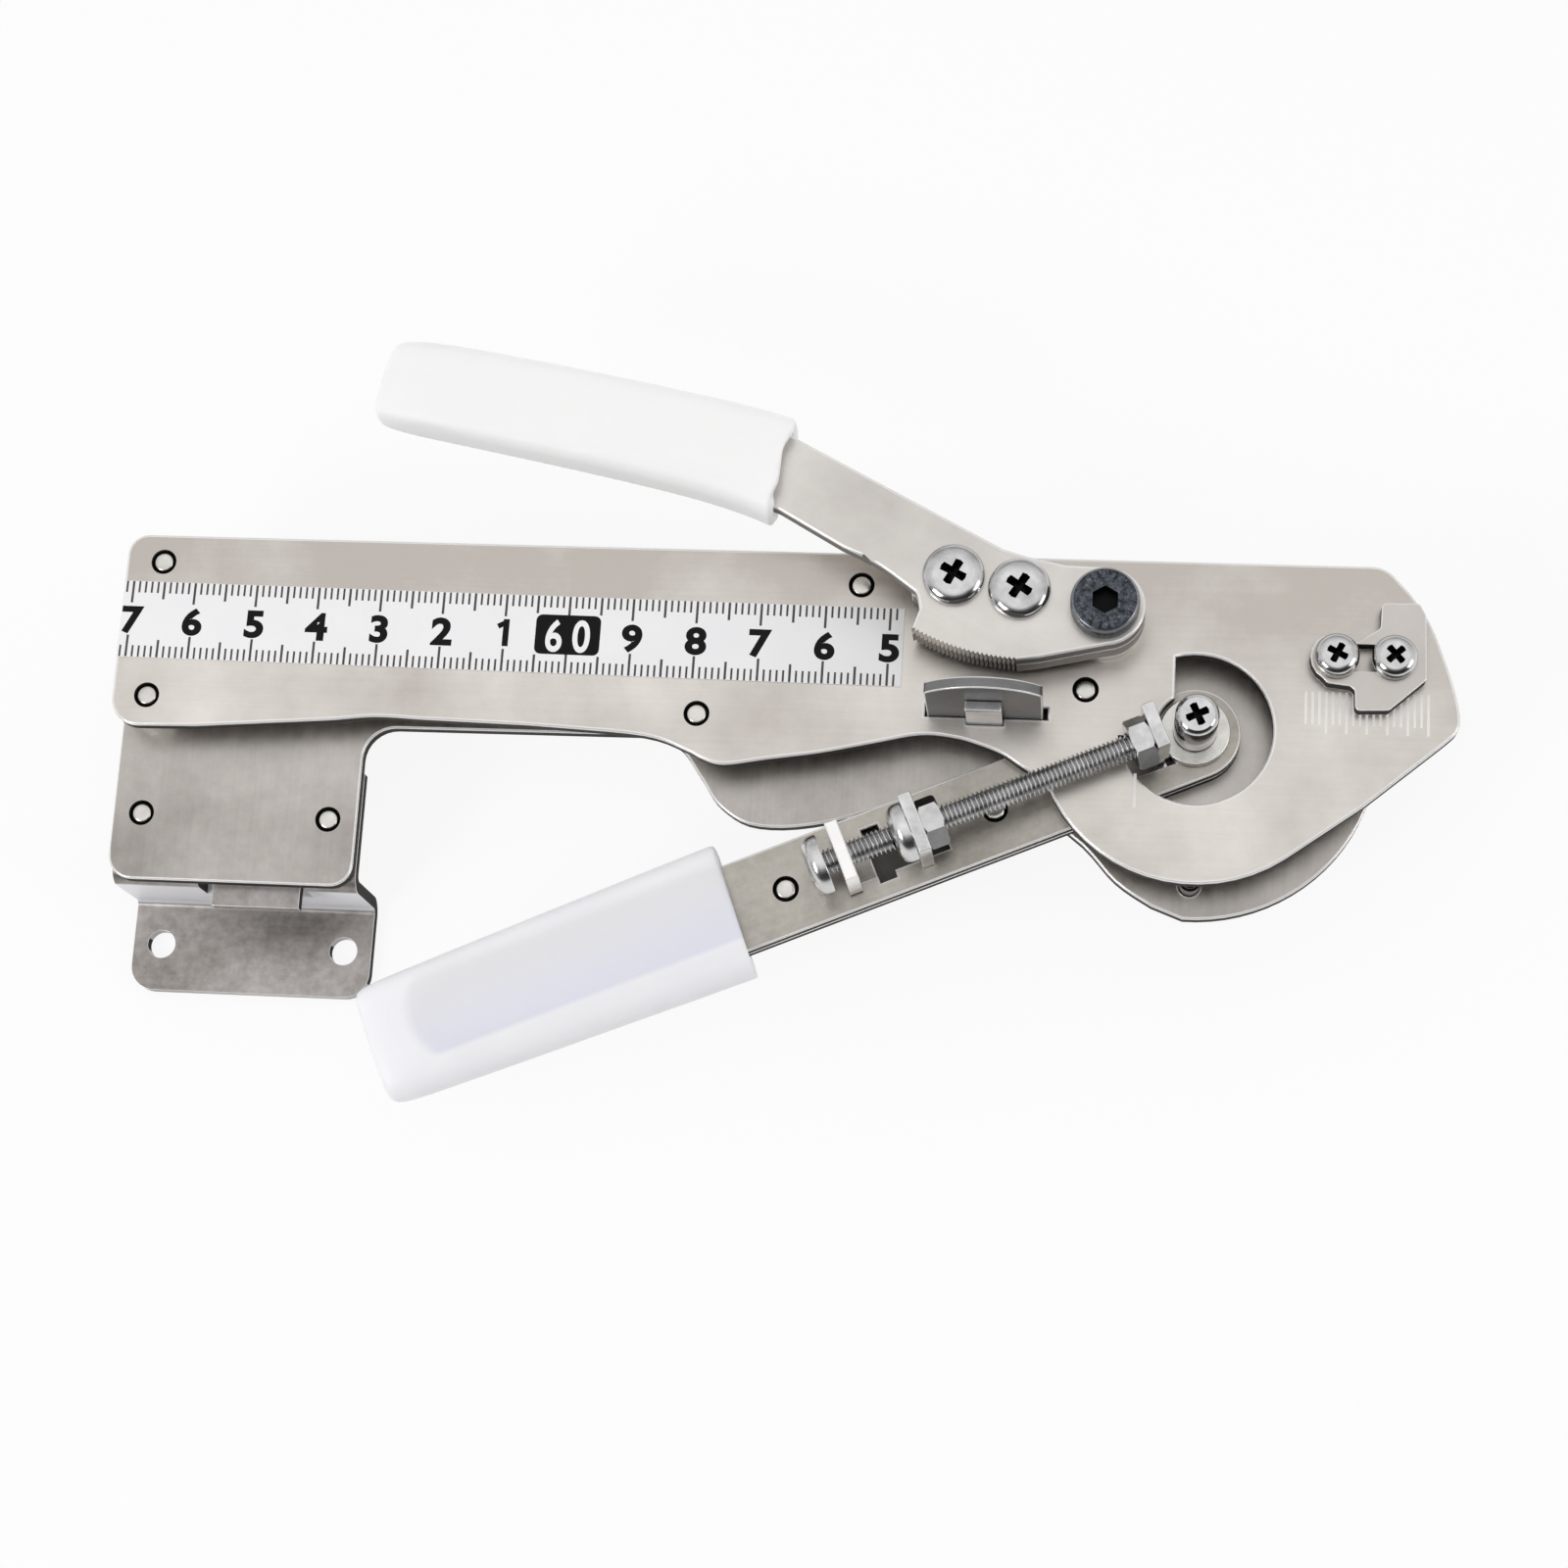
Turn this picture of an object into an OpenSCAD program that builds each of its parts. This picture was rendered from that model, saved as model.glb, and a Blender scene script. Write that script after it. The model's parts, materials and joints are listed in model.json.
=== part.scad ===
// Bench wire bending tool: two riveted plates on a Z-bent mounting bracket, a toothed
// cam lever that clamps the wire against an anvil, a swinging bending arm with a
// screw-adjusted finger that wraps the wire round a mandrel, and a sliding end stop.
// Origin: midway between the two bench holes, on the underside of the bracket flange.
// X runs along the plates to the nose, Y across them, Z up off the bench.

/* [Plates] */
// Length of the front plate from its left end to the nose
plate_l = 208.4; // [206:0.2:213]
// Height of the plates' top edge above the bench holes
plate_top = 61.4; // [60.4:0.2:64]
// Width of the strip that carries the tape
strip_w = 30.7; // [29:0.1:31.5]
// Thickness of the front and the rear plate
plate_t = 2.5; // [2:0.1:3]
// Radius of the front plate's disc round the mandrel
disc_r = 24; // [23:0.1:25]
// Radius of the rear plate's disc round the mandrel
rear_disc_r = 28; // [27:0.1:29]
// Radius of the window round the mandrel
window_r = 11.7; // [11:0.1:12.5]
// Shank diameter of the plate rivets
rivet_d = 4; // [3:0.1:5]
// Diameter of the round spacers between the plates
spacer_d = 9.2; // [8:0.1:10]

/* [Bracket] */
// Width of the bracket and of the rear plate's block
bracket_w = 39.2; // [38:0.2:44]
// Thickness of the bracket sheet
bracket_t = 2; // [1.6:0.1:2.6]
// Height of the underside of the bracket's upper leaf above the bench
bracket_rise = 15; // [13:0.5:18]
// Depth of the flange in front of the bench holes
flange_reach = 7.5; // [6:0.1:9]
// Distance of the bracket's wall behind the bench holes
wall_y = 9; // [8.5:0.1:10]
// Distance between the two bench holes
bench_pitch = 30; // [26:0.5:30]
// Diameter of the bench holes
bench_hole_d = 4.5; // [3.5:0.1:5.5]
// Width of the tongue left flat above the wall
tongue_w = 14; // [10:0.5:16]

/* [Mandrel and arm] */
// Distance of the mandrel behind the front plate's nose end
pivot_back = 39.8; // [39:0.2:41]
// Distance of the mandrel from the bench holes across the plates
pivot_y = 34.9; // [34.5:0.1:35.5]
// Diameter of the mandrel
mandrel_d = 6.6; // [5.6:0.1:7]
// Height of the mandrel above its bush
mandrel_h = 9.8; // [8:0.2:11]
// Diameter of the bush flange
bush_flange_d = 10.6; // [10:0.1:11]
// Width of the bending arm
arm_w = 14; // [13.6:0.1:14.4]
// Length of the bending arm from the mandrel
arm_l = 127; // [122:0.5:128]
// Thickness of each of the arm's two sheets
arm_t = 2; // [1.6:0.1:2.4]
// Distance of the fixed lug from the mandrel
lug_x = 56.65; // [56:0.05:57.5]
// Height of the lugs above the arm
lug_h = 11.25; // [10.5:0.25:12.5]
// Width of the lugs
lug_w = 9.4; // [9:0.1:10]
// Thread diameter of the long screw and the adjusting screw
thread_d = 4; // [3.6:0.1:4.4]
// Diameter of the two screws' pan heads
pan_d = 9.2; // [8:0.1:9.6]

/* [Lever and jaw] */
// Distance of the lever screw behind the mandrel along the plates
lever_back = 14.2; // [13.8:0.1:14.6]
// Distance of the lever screw from the bench holes across the plates
lever_y = 51.3; // [51:0.1:52]
// Thread diameter of the lever screw
lever_bolt_d = 6; // [5:0.1:6.6]
// Head diameter of the lever screw
lever_head_d = 10.4; // [9.6:0.1:11]
// Thickness of the washer under the lever
washer_t = 2; // [1.6:0.1:2.6]
// Thickness of the grip jaw
jaw_t = 3.5; // [3:0.1:4]
// Thickness of the lever
lever_t = 3; // [2.5:0.1:3.5]
// Width of the lever's strip
lever_w = 11.7; // [11:0.1:12.5]
// Radius of the toothed cam edge
cam_r = 35.8; // [35.4:0.1:36.2]
// Number of cam teeth
tooth_count = 24; // [16:1:30]
// Depth of the cam teeth
tooth_depth = 0.4; // [0.3:0.05:0.6]
// Width of the anvil
anvil_w = 17.6; // [15:0.1:18]
// Thickness of the anvil
anvil_t = 1.8; // [1.5:0.1:2.2]
// Height of the anvil's ends above the front plate
anvil_h = 12.5; // [11:0.25:13.5]
// Rise of the anvil's arched top edge
anvil_crown = 4; // [3:0.1:5]

/* [Sleeves] */
// Length of the bending arm's sleeve
arm_sleeve_l = 60; // [56:0.5:62]
// Width of the arm sleeve at its mouth
arm_sleeve_w = 21.5; // [20.5:0.1:22]
// Length of the lever's sleeve
lever_sleeve_l = 66; // [65:0.5:68]
// Width of the lever sleeve at its mouth
lever_sleeve_w = 17; // [16:0.1:18]
// Thickness of both sleeves
sleeve_t = 10; // [9:0.1:10.5]

/* [Tape and end stop] */
// Distance of the tape's right end behind the mandrel
tape_back = 44.78; // [44:0.02:48]
// Width of the tape
tape_w = 12.5; // [11:0.1:13]
// Thickness of the tape
tape_t = 0.15; // [0.1:0.05:0.3]
// Thickness of the end stop
stop_t = 2.5; // [2:0.1:3]
// Height of the end stop's slot above the bench holes
stop_y = 46.1; // [45.8:0.1:46.6]
// Distance between the end stop's two screws
stop_pitch = 8.6; // [8.2:0.1:9]
// Head diameter of the end stop's screws
stop_head_d = 6.8; // [6:0.1:7.4]

/* [Hidden] */
$fn = 48;

// One overrun for every cut, and the clearances that the fits share
over = 1;
run_fit = 0.05;
seat_fit = 0.02;
arm_play = 0.25;
slide_gap = 0.1;
arc_n = 16;
smooth_n = 5;

// Levels up through the stack
z_rear = bracket_rise + bracket_t;
z_gap = z_rear + plate_t;
plate_gap = 2 * arm_t + 2 * arm_play;
z_front = z_gap + plate_gap;
z_face = z_front + plate_t;
z_jaw = z_face + washer_t;
z_lever = z_jaw + jaw_t;
z_top = z_lever + lever_t;
z_arm = z_gap + arm_play;
z_seam = z_arm + arm_t;
z_deck = z_seam + arm_t;
axis_share = 0.6;
z_axis = z_deck + axis_share * lug_h;

// Places on the plates
plate_left = -bracket_w / 2;
strip_y = plate_top - strip_w;
pivot_x = plate_left + plate_l - pivot_back;
pivot = [pivot_x, pivot_y];
lever_axis = [pivot_x - lever_back, lever_y];
bench_holes = [[-bench_pitch / 2, 0], [bench_pitch / 2, 0]];
corner_share = 0.145;
corner_r = corner_share * strip_w;
nose_shares = [
    [0.9624, 0.931], [0.9766, 0.856], [0.9879, 0.757], [0.995, 0.678],
    [0.9981, 0.618], [0.9963, 0.583], [0.9883, 0.553], [0.9635, 0.481], [0.9305, 0.386]
];
nose_corner_share = 0.944;
disc_angle_from = 202.4;
disc_angle_to = 305;

// Lower edge of the front plate: the hump in disc radii from the mandrel, then the run as
// shares of the way from the hump to the left end and of the disc radius below the mandrel
hump_shares = [
    [-1.096, -0.275], [-1.2, -0.208], [-1.338, -0.154], [-1.513, -0.108],
    [-1.733, -0.096], [-2.021, -0.158], [-2.358, -0.233], [-2.7, -0.288],
    [-2.975, -0.333], [-3.117, -0.3], [-3.221, -0.25]
];
run_shares = [
    [0.0733, -0.16], [0.2363, -0.121], [0.3362, -0.108], [0.4492, -0.1],
    [0.536, -0.092], [0.6175, -0.125], [0.7332, -0.158], [0.8462, -0.192]
];
hump_end_x = pivot_x + hump_shares[len(hump_shares) - 1].x * disc_r;

// Rear plate: block, bay and lobe, in disc radii from the mandrel
block_y = wall_y - bracket_t + seat_fit;
block_top_share = 0.74;
bay_shares = [[-3.458, -0.079], [-3.329, -0.142], [-3.258, -0.204], [-3.146, -0.363]];
bay_y_share = -0.09;
lobe_shares = [
    [-3.008, -0.546], [-2.758, -0.662], [-2.279, -0.612], [-1.35, -0.333],
    [-0.76, -0.65], [-0.47, -0.94], [-0.24, -1.09]
];
rear_angle_from = 268;
rear_angle_to = 339;
rear_nose_shares = [[1.3, 0.1], [1.36, 0.5], [1.1, 0.9]];

// Guard corner that is left standing in the window, beside the mandrel
guard_x = 0.97 * mandrel_d / 2;
guard_y = 0.42 * mandrel_d / 2;
relief_r = bush_flange_d / 2 + 2 * arm_play;

// Rivets: places as shares of the plate's length and the strip's width
rivet_shares = [[0.029, 0.853], [0.027, 0.14], [0.444, 0.134], [0.561, 0.83]];
rivets = [for (s = rivet_shares)
    [plate_left + s.x * plate_l, strip_y + s.y * strip_w]];
standoff_d = 5;
standoff_share = [-0.696, 0.233];
standoff = pivot + standoff_share * disc_r;
rivet_rim = rivet_d * 0.06;
rivet_dish = plate_t * 0.12;
block_rivet_reach = 8.65;
block_rivets = [for (side = [-1, 1])
    [side * bench_pitch / 2, wall_y + block_rivet_reach]];
stop_pin_d = 4.5;
stop_pin_share = [-0.0042, -0.95];
stop_pin = pivot + stop_pin_share * disc_r;

// Bracket sheet
bend_in = bracket_t / 2;
bend_out = bend_in + bracket_t;
flange_corner = flange_reach * 0.53;
tongue_x = 4;
tongue_reach = 5.3;
window_left = 3;
lance_gap = 0.4;

// Mandrel, bush and fixings; the two pivot screws stand out of their nuts by the stub
screw_stub = 1;
bush_d = 6.4;
bush_flange_t = 1.3;
bush_play = 0.15;
z_bush = z_deck + bush_play;
nut_t = thread_d * 0.8;
nut_d = thread_d * 1.75 / cos(30);
recess_r_share = 0.27;
cross_share = 0.16;

// Arm: local X runs outward from the mandrel, local Y to the lower right
arm_angle = 203.5;
slot_w = 6.4;
slot_web = 1.2;
slot_from = bush_d / 2 + slot_web;
finger_slot_l = 8;
slide_slot_from = 41;
notch_w = 8.8;
notch_from = 50;
notch_l = 2.7;
pocket_w = 9.6;
lug_t = 2;
slide_x = 44;
foot_w = 8;
foot_gap = 0.1;
lug_foot_gap = 0.1;
arm_rivet_x = [32.5, 66.5];

// Finger: in the gap beside the mandrel, its neck goes down through the window
wire_gap = 2;
finger_x = mandrel_d / 2 + wire_gap;
neck_relief = 0.6;
finger_side = 2.8;
finger_far = 4.4;
neck_from = 0.3;
finger_lift = 0.3;

// Long screw and adjusting screw
pan_t = 0.3 * pan_d;
screw_gap = 0.02;
head_stand = 1.9;
adjust_head_x = lug_x + lug_t / 2 + head_stand;

// Lever outline: the strip runs out along the handle
lever_head_r = lever_bolt_d * 1.02;
lever_bolt_h = 3.3;
hex_share = 0.385;
cam_centre_share = [-0.324, 0.751];
cam_centre = lever_axis + cam_centre_share * cam_r;
cam_angle_from = 267.8;
cam_angle_to = 241.1;
strip_angle = 151.6;
handle_angle = 168.1;
bend_at = 53;
bend_ease = 2.4;
strip_from = 17.8;
strip_edge = 0.15;
handle_l = 62;
bow_shares = [[0, 0], [0.2, 0.11], [0.45, 0.11], [0.75, 0.08], [0.97, 0.03]];
scoop_shares = [
    [-2.385, -0.12], [-2.427, 0.085], [-2.538, 0.188], [-2.957, 0.479], [-3.419, 0.7]
];
cam_start_share = [-0.82, -0.718];
shoulder_shares = [[-1.026, 0.641], [-0.53, 0.538]];
jaw_end_share = 0.82;
jaw_bolt_d = 5;
jaw_head_d = 9.5;
jaw_head_t = 2.3;
jaw_bolt_shares = [[-0.6397, 0.1117], [-0.3603, 0.0587]];
jaw_bolts = [for (s = jaw_bolt_shares) lever_axis + s * cam_r];
spacer_bush_d = 10;
washer_d = 12;
lever_nut_t = 5;
lever_nut_d = 10 / cos(30);

// Sleeves
slice_t = 0.25;
grip_fit = 0.1;
arm_sleeve_x = 74.3;
arm_sleeve_end_w = arm_sleeve_w * 0.875;

// Anvil
anvil_back = 31.8;
anvil_aside = 1.6;
anvil_x = pivot_x - anvil_back;
anvil_y = pivot_y + anvil_aside;
anvil_foot_w = 9;
slot_side = 0.35;
post_w = 5.5;
post_t = 1.1;
post_h = 9.5;
lip_t = 0.8;
lip_out = 0.5;

// Tape
tape_tilt = -0.5;
tape_in = 1.22;
tape_l = pivot_x - tape_back - plate_left - tape_in;
tape_y_share = 0.525;

// End stop: outline in screw pitches from the left screw
stop_reach = 20.7;
stop_x = pivot_x + stop_reach;
stop_bolt_d = 3;
stop_head_t = 2.4;
stop_slot_w = 4.2;
stop_travel = 1.6;
stop_boss_r = stop_head_d * 0.57;
stop_shares = [
    [-0.15, -0.477], [0.244, -0.523], [0.326, -0.593], [0.337, -0.965],
    [0.919, -0.942], [1.558, -0.372], [1.547, 0.802], [1.43, 1.023],
    [0.779, 1.012], [0.756, 0.547], [0.372, 0.29]
];

// Helpers

function at(c, r, a) = c + r * [cos(a), sin(a)];

function arc(c, r, a, b) =
    [for (i = [0:arc_n]) at(c, r, a + (b - a) * i / arc_n)];

function unit(v) = v / norm(v);

// Rounds corner b of the path a, b, c with radius r
function round_corner(a, b, c, r) =
    let (u = unit(a - b), w = unit(c - b),
         half = acos(u * w) / 2,
         limit = min(norm(a - b), norm(c - b)) / 2 * tan(half),
         q = min(r, limit),
         m = b + unit(u + w) * q / sin(half),
         p0 = b + u * q / tan(half) - m,
         p1 = b + w * q / tan(half) - m,
         a0 = atan2(p0.y, p0.x),
         turn = (atan2(p1.y, p1.x) - a0 + 540) % 360 - 180,
         n = max(2, ceil(abs(turn) / 12)))
    [for (i = [0:n]) at(m, q, a0 + turn * i / n)];

// Rounds every corner of a closed outline with the matching radius
function rounded(p, r) =
    let (n = len(p))
    [for (i = [0:n - 1])
        each (r[i] == 0 ? [p[i]]
              : round_corner(p[(i + n - 1) % n], p[i], p[(i + 1) % n], r[i]))];

// Smooth open curve through the points
function blend(a, b, c, d, t) =
    (2 * b + (c - a) * t + (2 * a - 5 * b + 4 * c - d) * t * t
     + (3 * b - a - 3 * c + d) * t * t * t) / 2;

function smooth(p) =
    let (n = len(p) - 1)
    [for (i = [0:n - 1]) for (k = [0:smooth_n - 1])
        blend(p[max(i - 1, 0)], p[i], p[i + 1], p[min(i + 2, n)], k / smooth_n),
     p[n]];

module place(p, z = 0) {
    translate([p.x, p.y, z]) children();
}

module on_arm() {
    place(pivot) rotate(arm_angle) children();
}

module along_arm(x, z = z_axis) {
    translate([x, 0, z]) rotate([0, 90, 0]) children();
}

module bore(p, d, z, h) {
    place(p, z - over) cylinder(d = d, h = h + 2 * over);
}

module box(x0, x1, y0, y1, z0, z1) {
    translate([x0, y0, z0]) cube([x1 - x0, y1 - y0, z1 - z0]);
}

// Cross recess cut into a head of diameter d whose top is at z
module cross_recess(d, z) {
    for (turn = [0, 90])
        rotate(turn)
            translate([-recess_r_share * d, -cross_share * d / 2, z - cross_share * d])
                cube([2 * recess_r_share * d, cross_share * d, cross_share * d + over]);
}

// Pan head of diameter d and height t, seated at z = 0
module pan_head(d, t) {
    rotate_extrude()
        polygon([[0, 0], [d / 2, 0], [d / 2, t * 0.35], [d * 0.46, t * 0.62],
                 [d * 0.36, t * 0.86], [d * 0.2, t * 0.97], [0, t]]);
}

module pan_screw(d, head_d, head_t, length) {
    difference() {
        union() {
            pan_head(head_d, head_t);
            translate([0, 0, -length]) cylinder(d = d, h = length + head_t / 4);
        }
        cross_recess(head_d, head_t);
    }
}

// Hexagonal nut with chamfered corners and a round bore
module hex_nut(across, t, bore_d) {
    difference() {
        intersection() {
            cylinder(d = across, h = t, $fn = 6);
            rotate_extrude()
                polygon([[0, 0], [across * 0.45, 0], [across / 2, t * 0.12],
                         [across / 2, t * 0.88], [across * 0.45, t], [0, t]]);
        }
        translate([0, 0, -over]) cylinder(d = bore_d, h = t + 2 * over);
    }
}

// Plates

module front_outline() {
    nose = [for (s = nose_shares) [plate_left + s.x * plate_l, s.y * plate_top]];
    top = [plate_left + nose_corner_share * plate_l, plate_top];
    edge = concat([for (s = hump_shares) pivot + s * disc_r],
                  [for (s = run_shares) [hump_end_x + s.x * (plate_left - hump_end_x),
                                         pivot_y + s.y * disc_r]]);
    low = len(edge) - 1;
    left_end = rounded([edge[low], [plate_left, strip_y - corner_r * 0.16],
                        [plate_left, plate_top], top, nose[0]],
                       [0, corner_r, corner_r * 0.75, corner_r, 0]);
    polygon(concat(left_end, smooth(nose), arc(pivot, disc_r, disc_angle_to, disc_angle_from),
                   smooth(concat([at(pivot, disc_r, disc_angle_from)], edge))));
}

// Window round the mandrel, with the guard corner and its relief
module window_cut() {
    difference() {
        bore(pivot, 2 * window_r, z_front, plate_t);
        box(pivot_x - 2 * window_r, pivot_x - guard_x, pivot_y - guard_y,
            pivot_y + 2 * window_r, z_front - 2 * over, z_face + 2 * over);
    }
    bore(pivot, 2 * relief_r, z_front, plate_t);
}

module anvil_slot() {
    box(anvil_x - anvil_w / 2 - slot_side, anvil_x + anvil_w / 2 + 2 * slot_side,
        anvil_y - anvil_t / 2 - seat_fit, anvil_y + anvil_t / 2 + seat_fit,
        z_front - over, z_face + over);
    box(anvil_x - post_w / 2 - seat_fit, anvil_x + post_w / 2 + seat_fit,
        anvil_y - anvil_t / 2 - post_t - 2 * seat_fit, anvil_y,
        z_front - over, z_face + over);
}

module front_plate() {
    color([0.78, 0.76, 0.73])
        difference() {
            translate([0, 0, z_front]) linear_extrude(plate_t) front_outline();
            window_cut();
            anvil_slot();
            for (p = concat(rivets, [standoff]))
                bore(p, rivet_d + 2 * seat_fit, z_front, plate_t);
            bore(lever_axis, lever_bolt_d + 2 * run_fit, z_front, plate_t);
            for (i = [0, 1])
                bore([stop_x + i * stop_pitch, stop_y], stop_bolt_d + 2 * run_fit,
                     z_front, plate_t);
        }
}

module rear_outline() {
    corner = bracket_w * 0.1;
    half = bracket_w / 2;
    bay_y = pivot_y + bay_y_share * disc_r;
    bay = smooth([for (s = concat(bay_shares, lobe_shares)) pivot + s * disc_r]);
    n = len(bay) - 1;
    nose = [for (s = rear_nose_shares) pivot + s * disc_r];
    polygon(concat(
        arc(pivot, rear_disc_r, rear_angle_from - 360, rear_angle_to - 360),
        rounded([at(pivot, rear_disc_r, rear_angle_to), nose[0], nose[1], nose[2],
                 [pivot_x + 0.95 * disc_r, plate_top], [-half, plate_top],
                 [-half, block_y], [half, block_y], [half, bay_y], bay[0]],
                [0, corner, corner, corner, corner, corner, corner, corner * 0.9,
                 corner * 1.3, 0]),
        bay));
}

module rear_plate() {
    color([0.66, 0.64, 0.61])
        difference() {
            translate([0, 0, z_rear]) linear_extrude(plate_t) rear_outline();
            for (p = concat(rivets, [standoff], block_rivets))
                bore(p, rivet_d + 2 * seat_fit, z_rear, plate_t);
            bore(stop_pin, rivet_d * 0.8 + 2 * seat_fit, z_rear, plate_t);
            bore(lever_axis, lever_bolt_d + 2 * run_fit, z_rear, plate_t);
            bore(pivot, thread_d + 2 * run_fit, z_rear, plate_t);
        }
}

// Bracket

module bracket_profile() {
    leaf_y = block_top_share * pivot_y;
    inner = wall_y - bracket_t;
    p = [[-flange_reach, 0], [wall_y, 0], [wall_y, bracket_rise], [leaf_y, bracket_rise],
         [leaf_y, z_rear], [inner, z_rear], [inner, bracket_t],
         [-flange_reach, bracket_t]];
    polygon(rounded(p, [0, bend_out, bend_in, 0, 0, bend_out, bend_in, 0]));
}

module bracket_plan() {
    half = bracket_w / 2;
    leaf_y = block_top_share * pivot_y;
    polygon(rounded([[-half, -flange_reach], [half, -flange_reach], [half, leaf_y],
                     [-half, leaf_y]],
                    [flange_corner, flange_corner, 0, 0]));
}

module mount_bracket() {
    half = bracket_w / 2;
    right = tongue_x + tongue_w / 2;
    left = right - tongue_w;
    color([0.5, 0.48, 0.46]) {
        difference() {
            intersection() {
                translate([-half, 0, 0]) rotate([90, 0, 90])
                    linear_extrude(bracket_w) bracket_profile();
                linear_extrude(z_rear) bracket_plan();
            }
            box(left - window_left, right + lance_gap, wall_y - bracket_t - over,
                wall_y + bend_in, z_rear - tongue_reach - bracket_t, z_rear + over);
            for (p = bench_holes)
                bore(p, bench_hole_d, 0, bracket_t);
            for (p = block_rivets)
                bore(p, rivet_d + 2 * seat_fit, bracket_rise, bracket_t);
        }
        box(left, right, wall_y - tongue_reach, wall_y + bend_in + seat_fit,
            bracket_rise, z_rear);
    }
}

// Spacers, rivets and pins

module plate_spacers() {
    color([0.7, 0.69, 0.67])
        for (p = rivets)
            difference() {
                place(p, z_gap) cylinder(d = spacer_d, h = plate_gap);
                bore(p, rivet_d + 2 * seat_fit, z_gap, plate_gap);
            }
}

// Flush rivet from z0 to z1 with a fine rim groove at each end
module rivet(z0, z1) {
    translate([0, 0, z0 + rivet_dish])
        cylinder(d = rivet_d, h = z1 - z0 - 2 * rivet_dish);
    translate([0, 0, z0])
        cylinder(d = rivet_d - 2 * rivet_rim, h = z1 - z0);
}

module plate_rivets() {
    color([0.82, 0.81, 0.79]) {
        for (p = rivets)
            place(p) rivet(z_rear, z_face);
        place(standoff) {
            rivet(z_rear, z_face);
            translate([0, 0, z_gap]) cylinder(d = standoff_d, h = plate_gap);
        }
    }
}

module bracket_rivets() {
    color([0.8, 0.79, 0.77])
        for (p = block_rivets)
            place(p) rivet(bracket_rise, z_gap);
}

module arm_stop_pin() {
    color([0.72, 0.71, 0.69])
        place(stop_pin, z_rear) {
            cylinder(d = rivet_d * 0.8, h = plate_t + arm_play);
            translate([0, 0, plate_t])
                cylinder(d = stop_pin_d, h = plate_gap - arm_play);
        }
}

// Tape

module ruler_tape() {
    mid = [plate_left + tape_in + tape_l / 2, strip_y + tape_y_share * strip_w];
    color([0.96, 0.96, 0.95])
        place(mid, z_face) rotate(tape_tilt)
            translate([-tape_l / 2, -tape_w / 2, 0]) cube([tape_l, tape_w, tape_t]);
}

// Anvil

module anvil_face() {
    arch_r = (anvil_w * anvil_w / 4 + anvil_crown * anvil_crown) / (2 * anvil_crown);
    rise = plate_t + anvil_h;
    intersection() {
        translate([-anvil_w / 2, 0]) square([anvil_w, rise + anvil_crown]);
        translate([0, rise + anvil_crown - arch_r]) circle(r = arch_r, $fn = 96);
    }
}

module anvil_plate() {
    color([0.36, 0.36, 0.37])
        translate([anvil_x, anvil_y + anvil_t / 2, 0]) {
            translate([0, 0, z_front]) rotate([90, 0, 0])
                linear_extrude(anvil_t) anvil_face();
            box(-anvil_foot_w / 2, anvil_foot_w / 2, -anvil_t, 0,
                z_gap, z_front + seat_fit);
        }
}

module anvil_post() {
    front = anvil_y - anvil_t / 2 - seat_fit;
    color([0.88, 0.88, 0.87]) {
        box(anvil_x - post_w / 2, anvil_x + post_w / 2, front - post_t, front,
            z_front, z_face + post_h);
        box(anvil_x - post_w / 2, anvil_x + post_w / 2, front - post_t - lip_out, front,
            z_face + post_h - lip_t, z_face + post_h);
    }
}

// Lever pivot

module lever_screw() {
    shank = z_top - z_rear + lever_nut_t + screw_stub;
    color([0.16, 0.16, 0.17])
        place(lever_axis, z_top)
            difference() {
                union() {
                    rotate_extrude()
                        polygon([[0, 0], [lever_head_d / 2, 0],
                                 [lever_head_d / 2, lever_bolt_h * 0.45],
                                 [lever_head_d * 0.475, lever_bolt_h * 0.75],
                                 [lever_head_d * 0.43, lever_bolt_h],
                                 [0, lever_bolt_h]]);
                    translate([0, 0, -shank])
                        cylinder(d = lever_bolt_d, h = shank + lever_bolt_h / 4);
                }
                translate([0, 0, lever_bolt_h / 3])
                    cylinder(d = hex_share * lever_head_d / cos(30),
                             h = lever_bolt_h, $fn = 6);
            }
}

module lever_spacer() {
    color([0.7, 0.69, 0.67])
        difference() {
            place(lever_axis, z_gap) cylinder(d = spacer_bush_d, h = plate_gap);
            bore(lever_axis, lever_bolt_d + 2 * run_fit, z_gap, plate_gap);
        }
}

module lever_washer() {
    color([0.6, 0.6, 0.6])
        difference() {
            place(lever_axis, z_face) cylinder(d = washer_d, h = washer_t);
            bore(lever_axis, lever_bolt_d + 2 * run_fit, z_face, washer_t);
        }
}

module lever_nut() {
    color([0.3, 0.3, 0.31])
        place(lever_axis, z_rear - lever_nut_t)
            hex_nut(lever_nut_d, lever_nut_t, lever_bolt_d + 2 * seat_fit);
}

// Mandrel

module pivot_bush() {
    color([0.8, 0.79, 0.76])
        difference() {
            union() {
                place(pivot, z_gap) cylinder(d = bush_d, h = z_bush - z_gap + seat_fit);
                place(pivot, z_bush) cylinder(d = bush_flange_d, h = bush_flange_t);
            }
            bore(pivot, thread_d + 2 * seat_fit, z_gap, plate_gap + bush_flange_t);
        }
}

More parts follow.
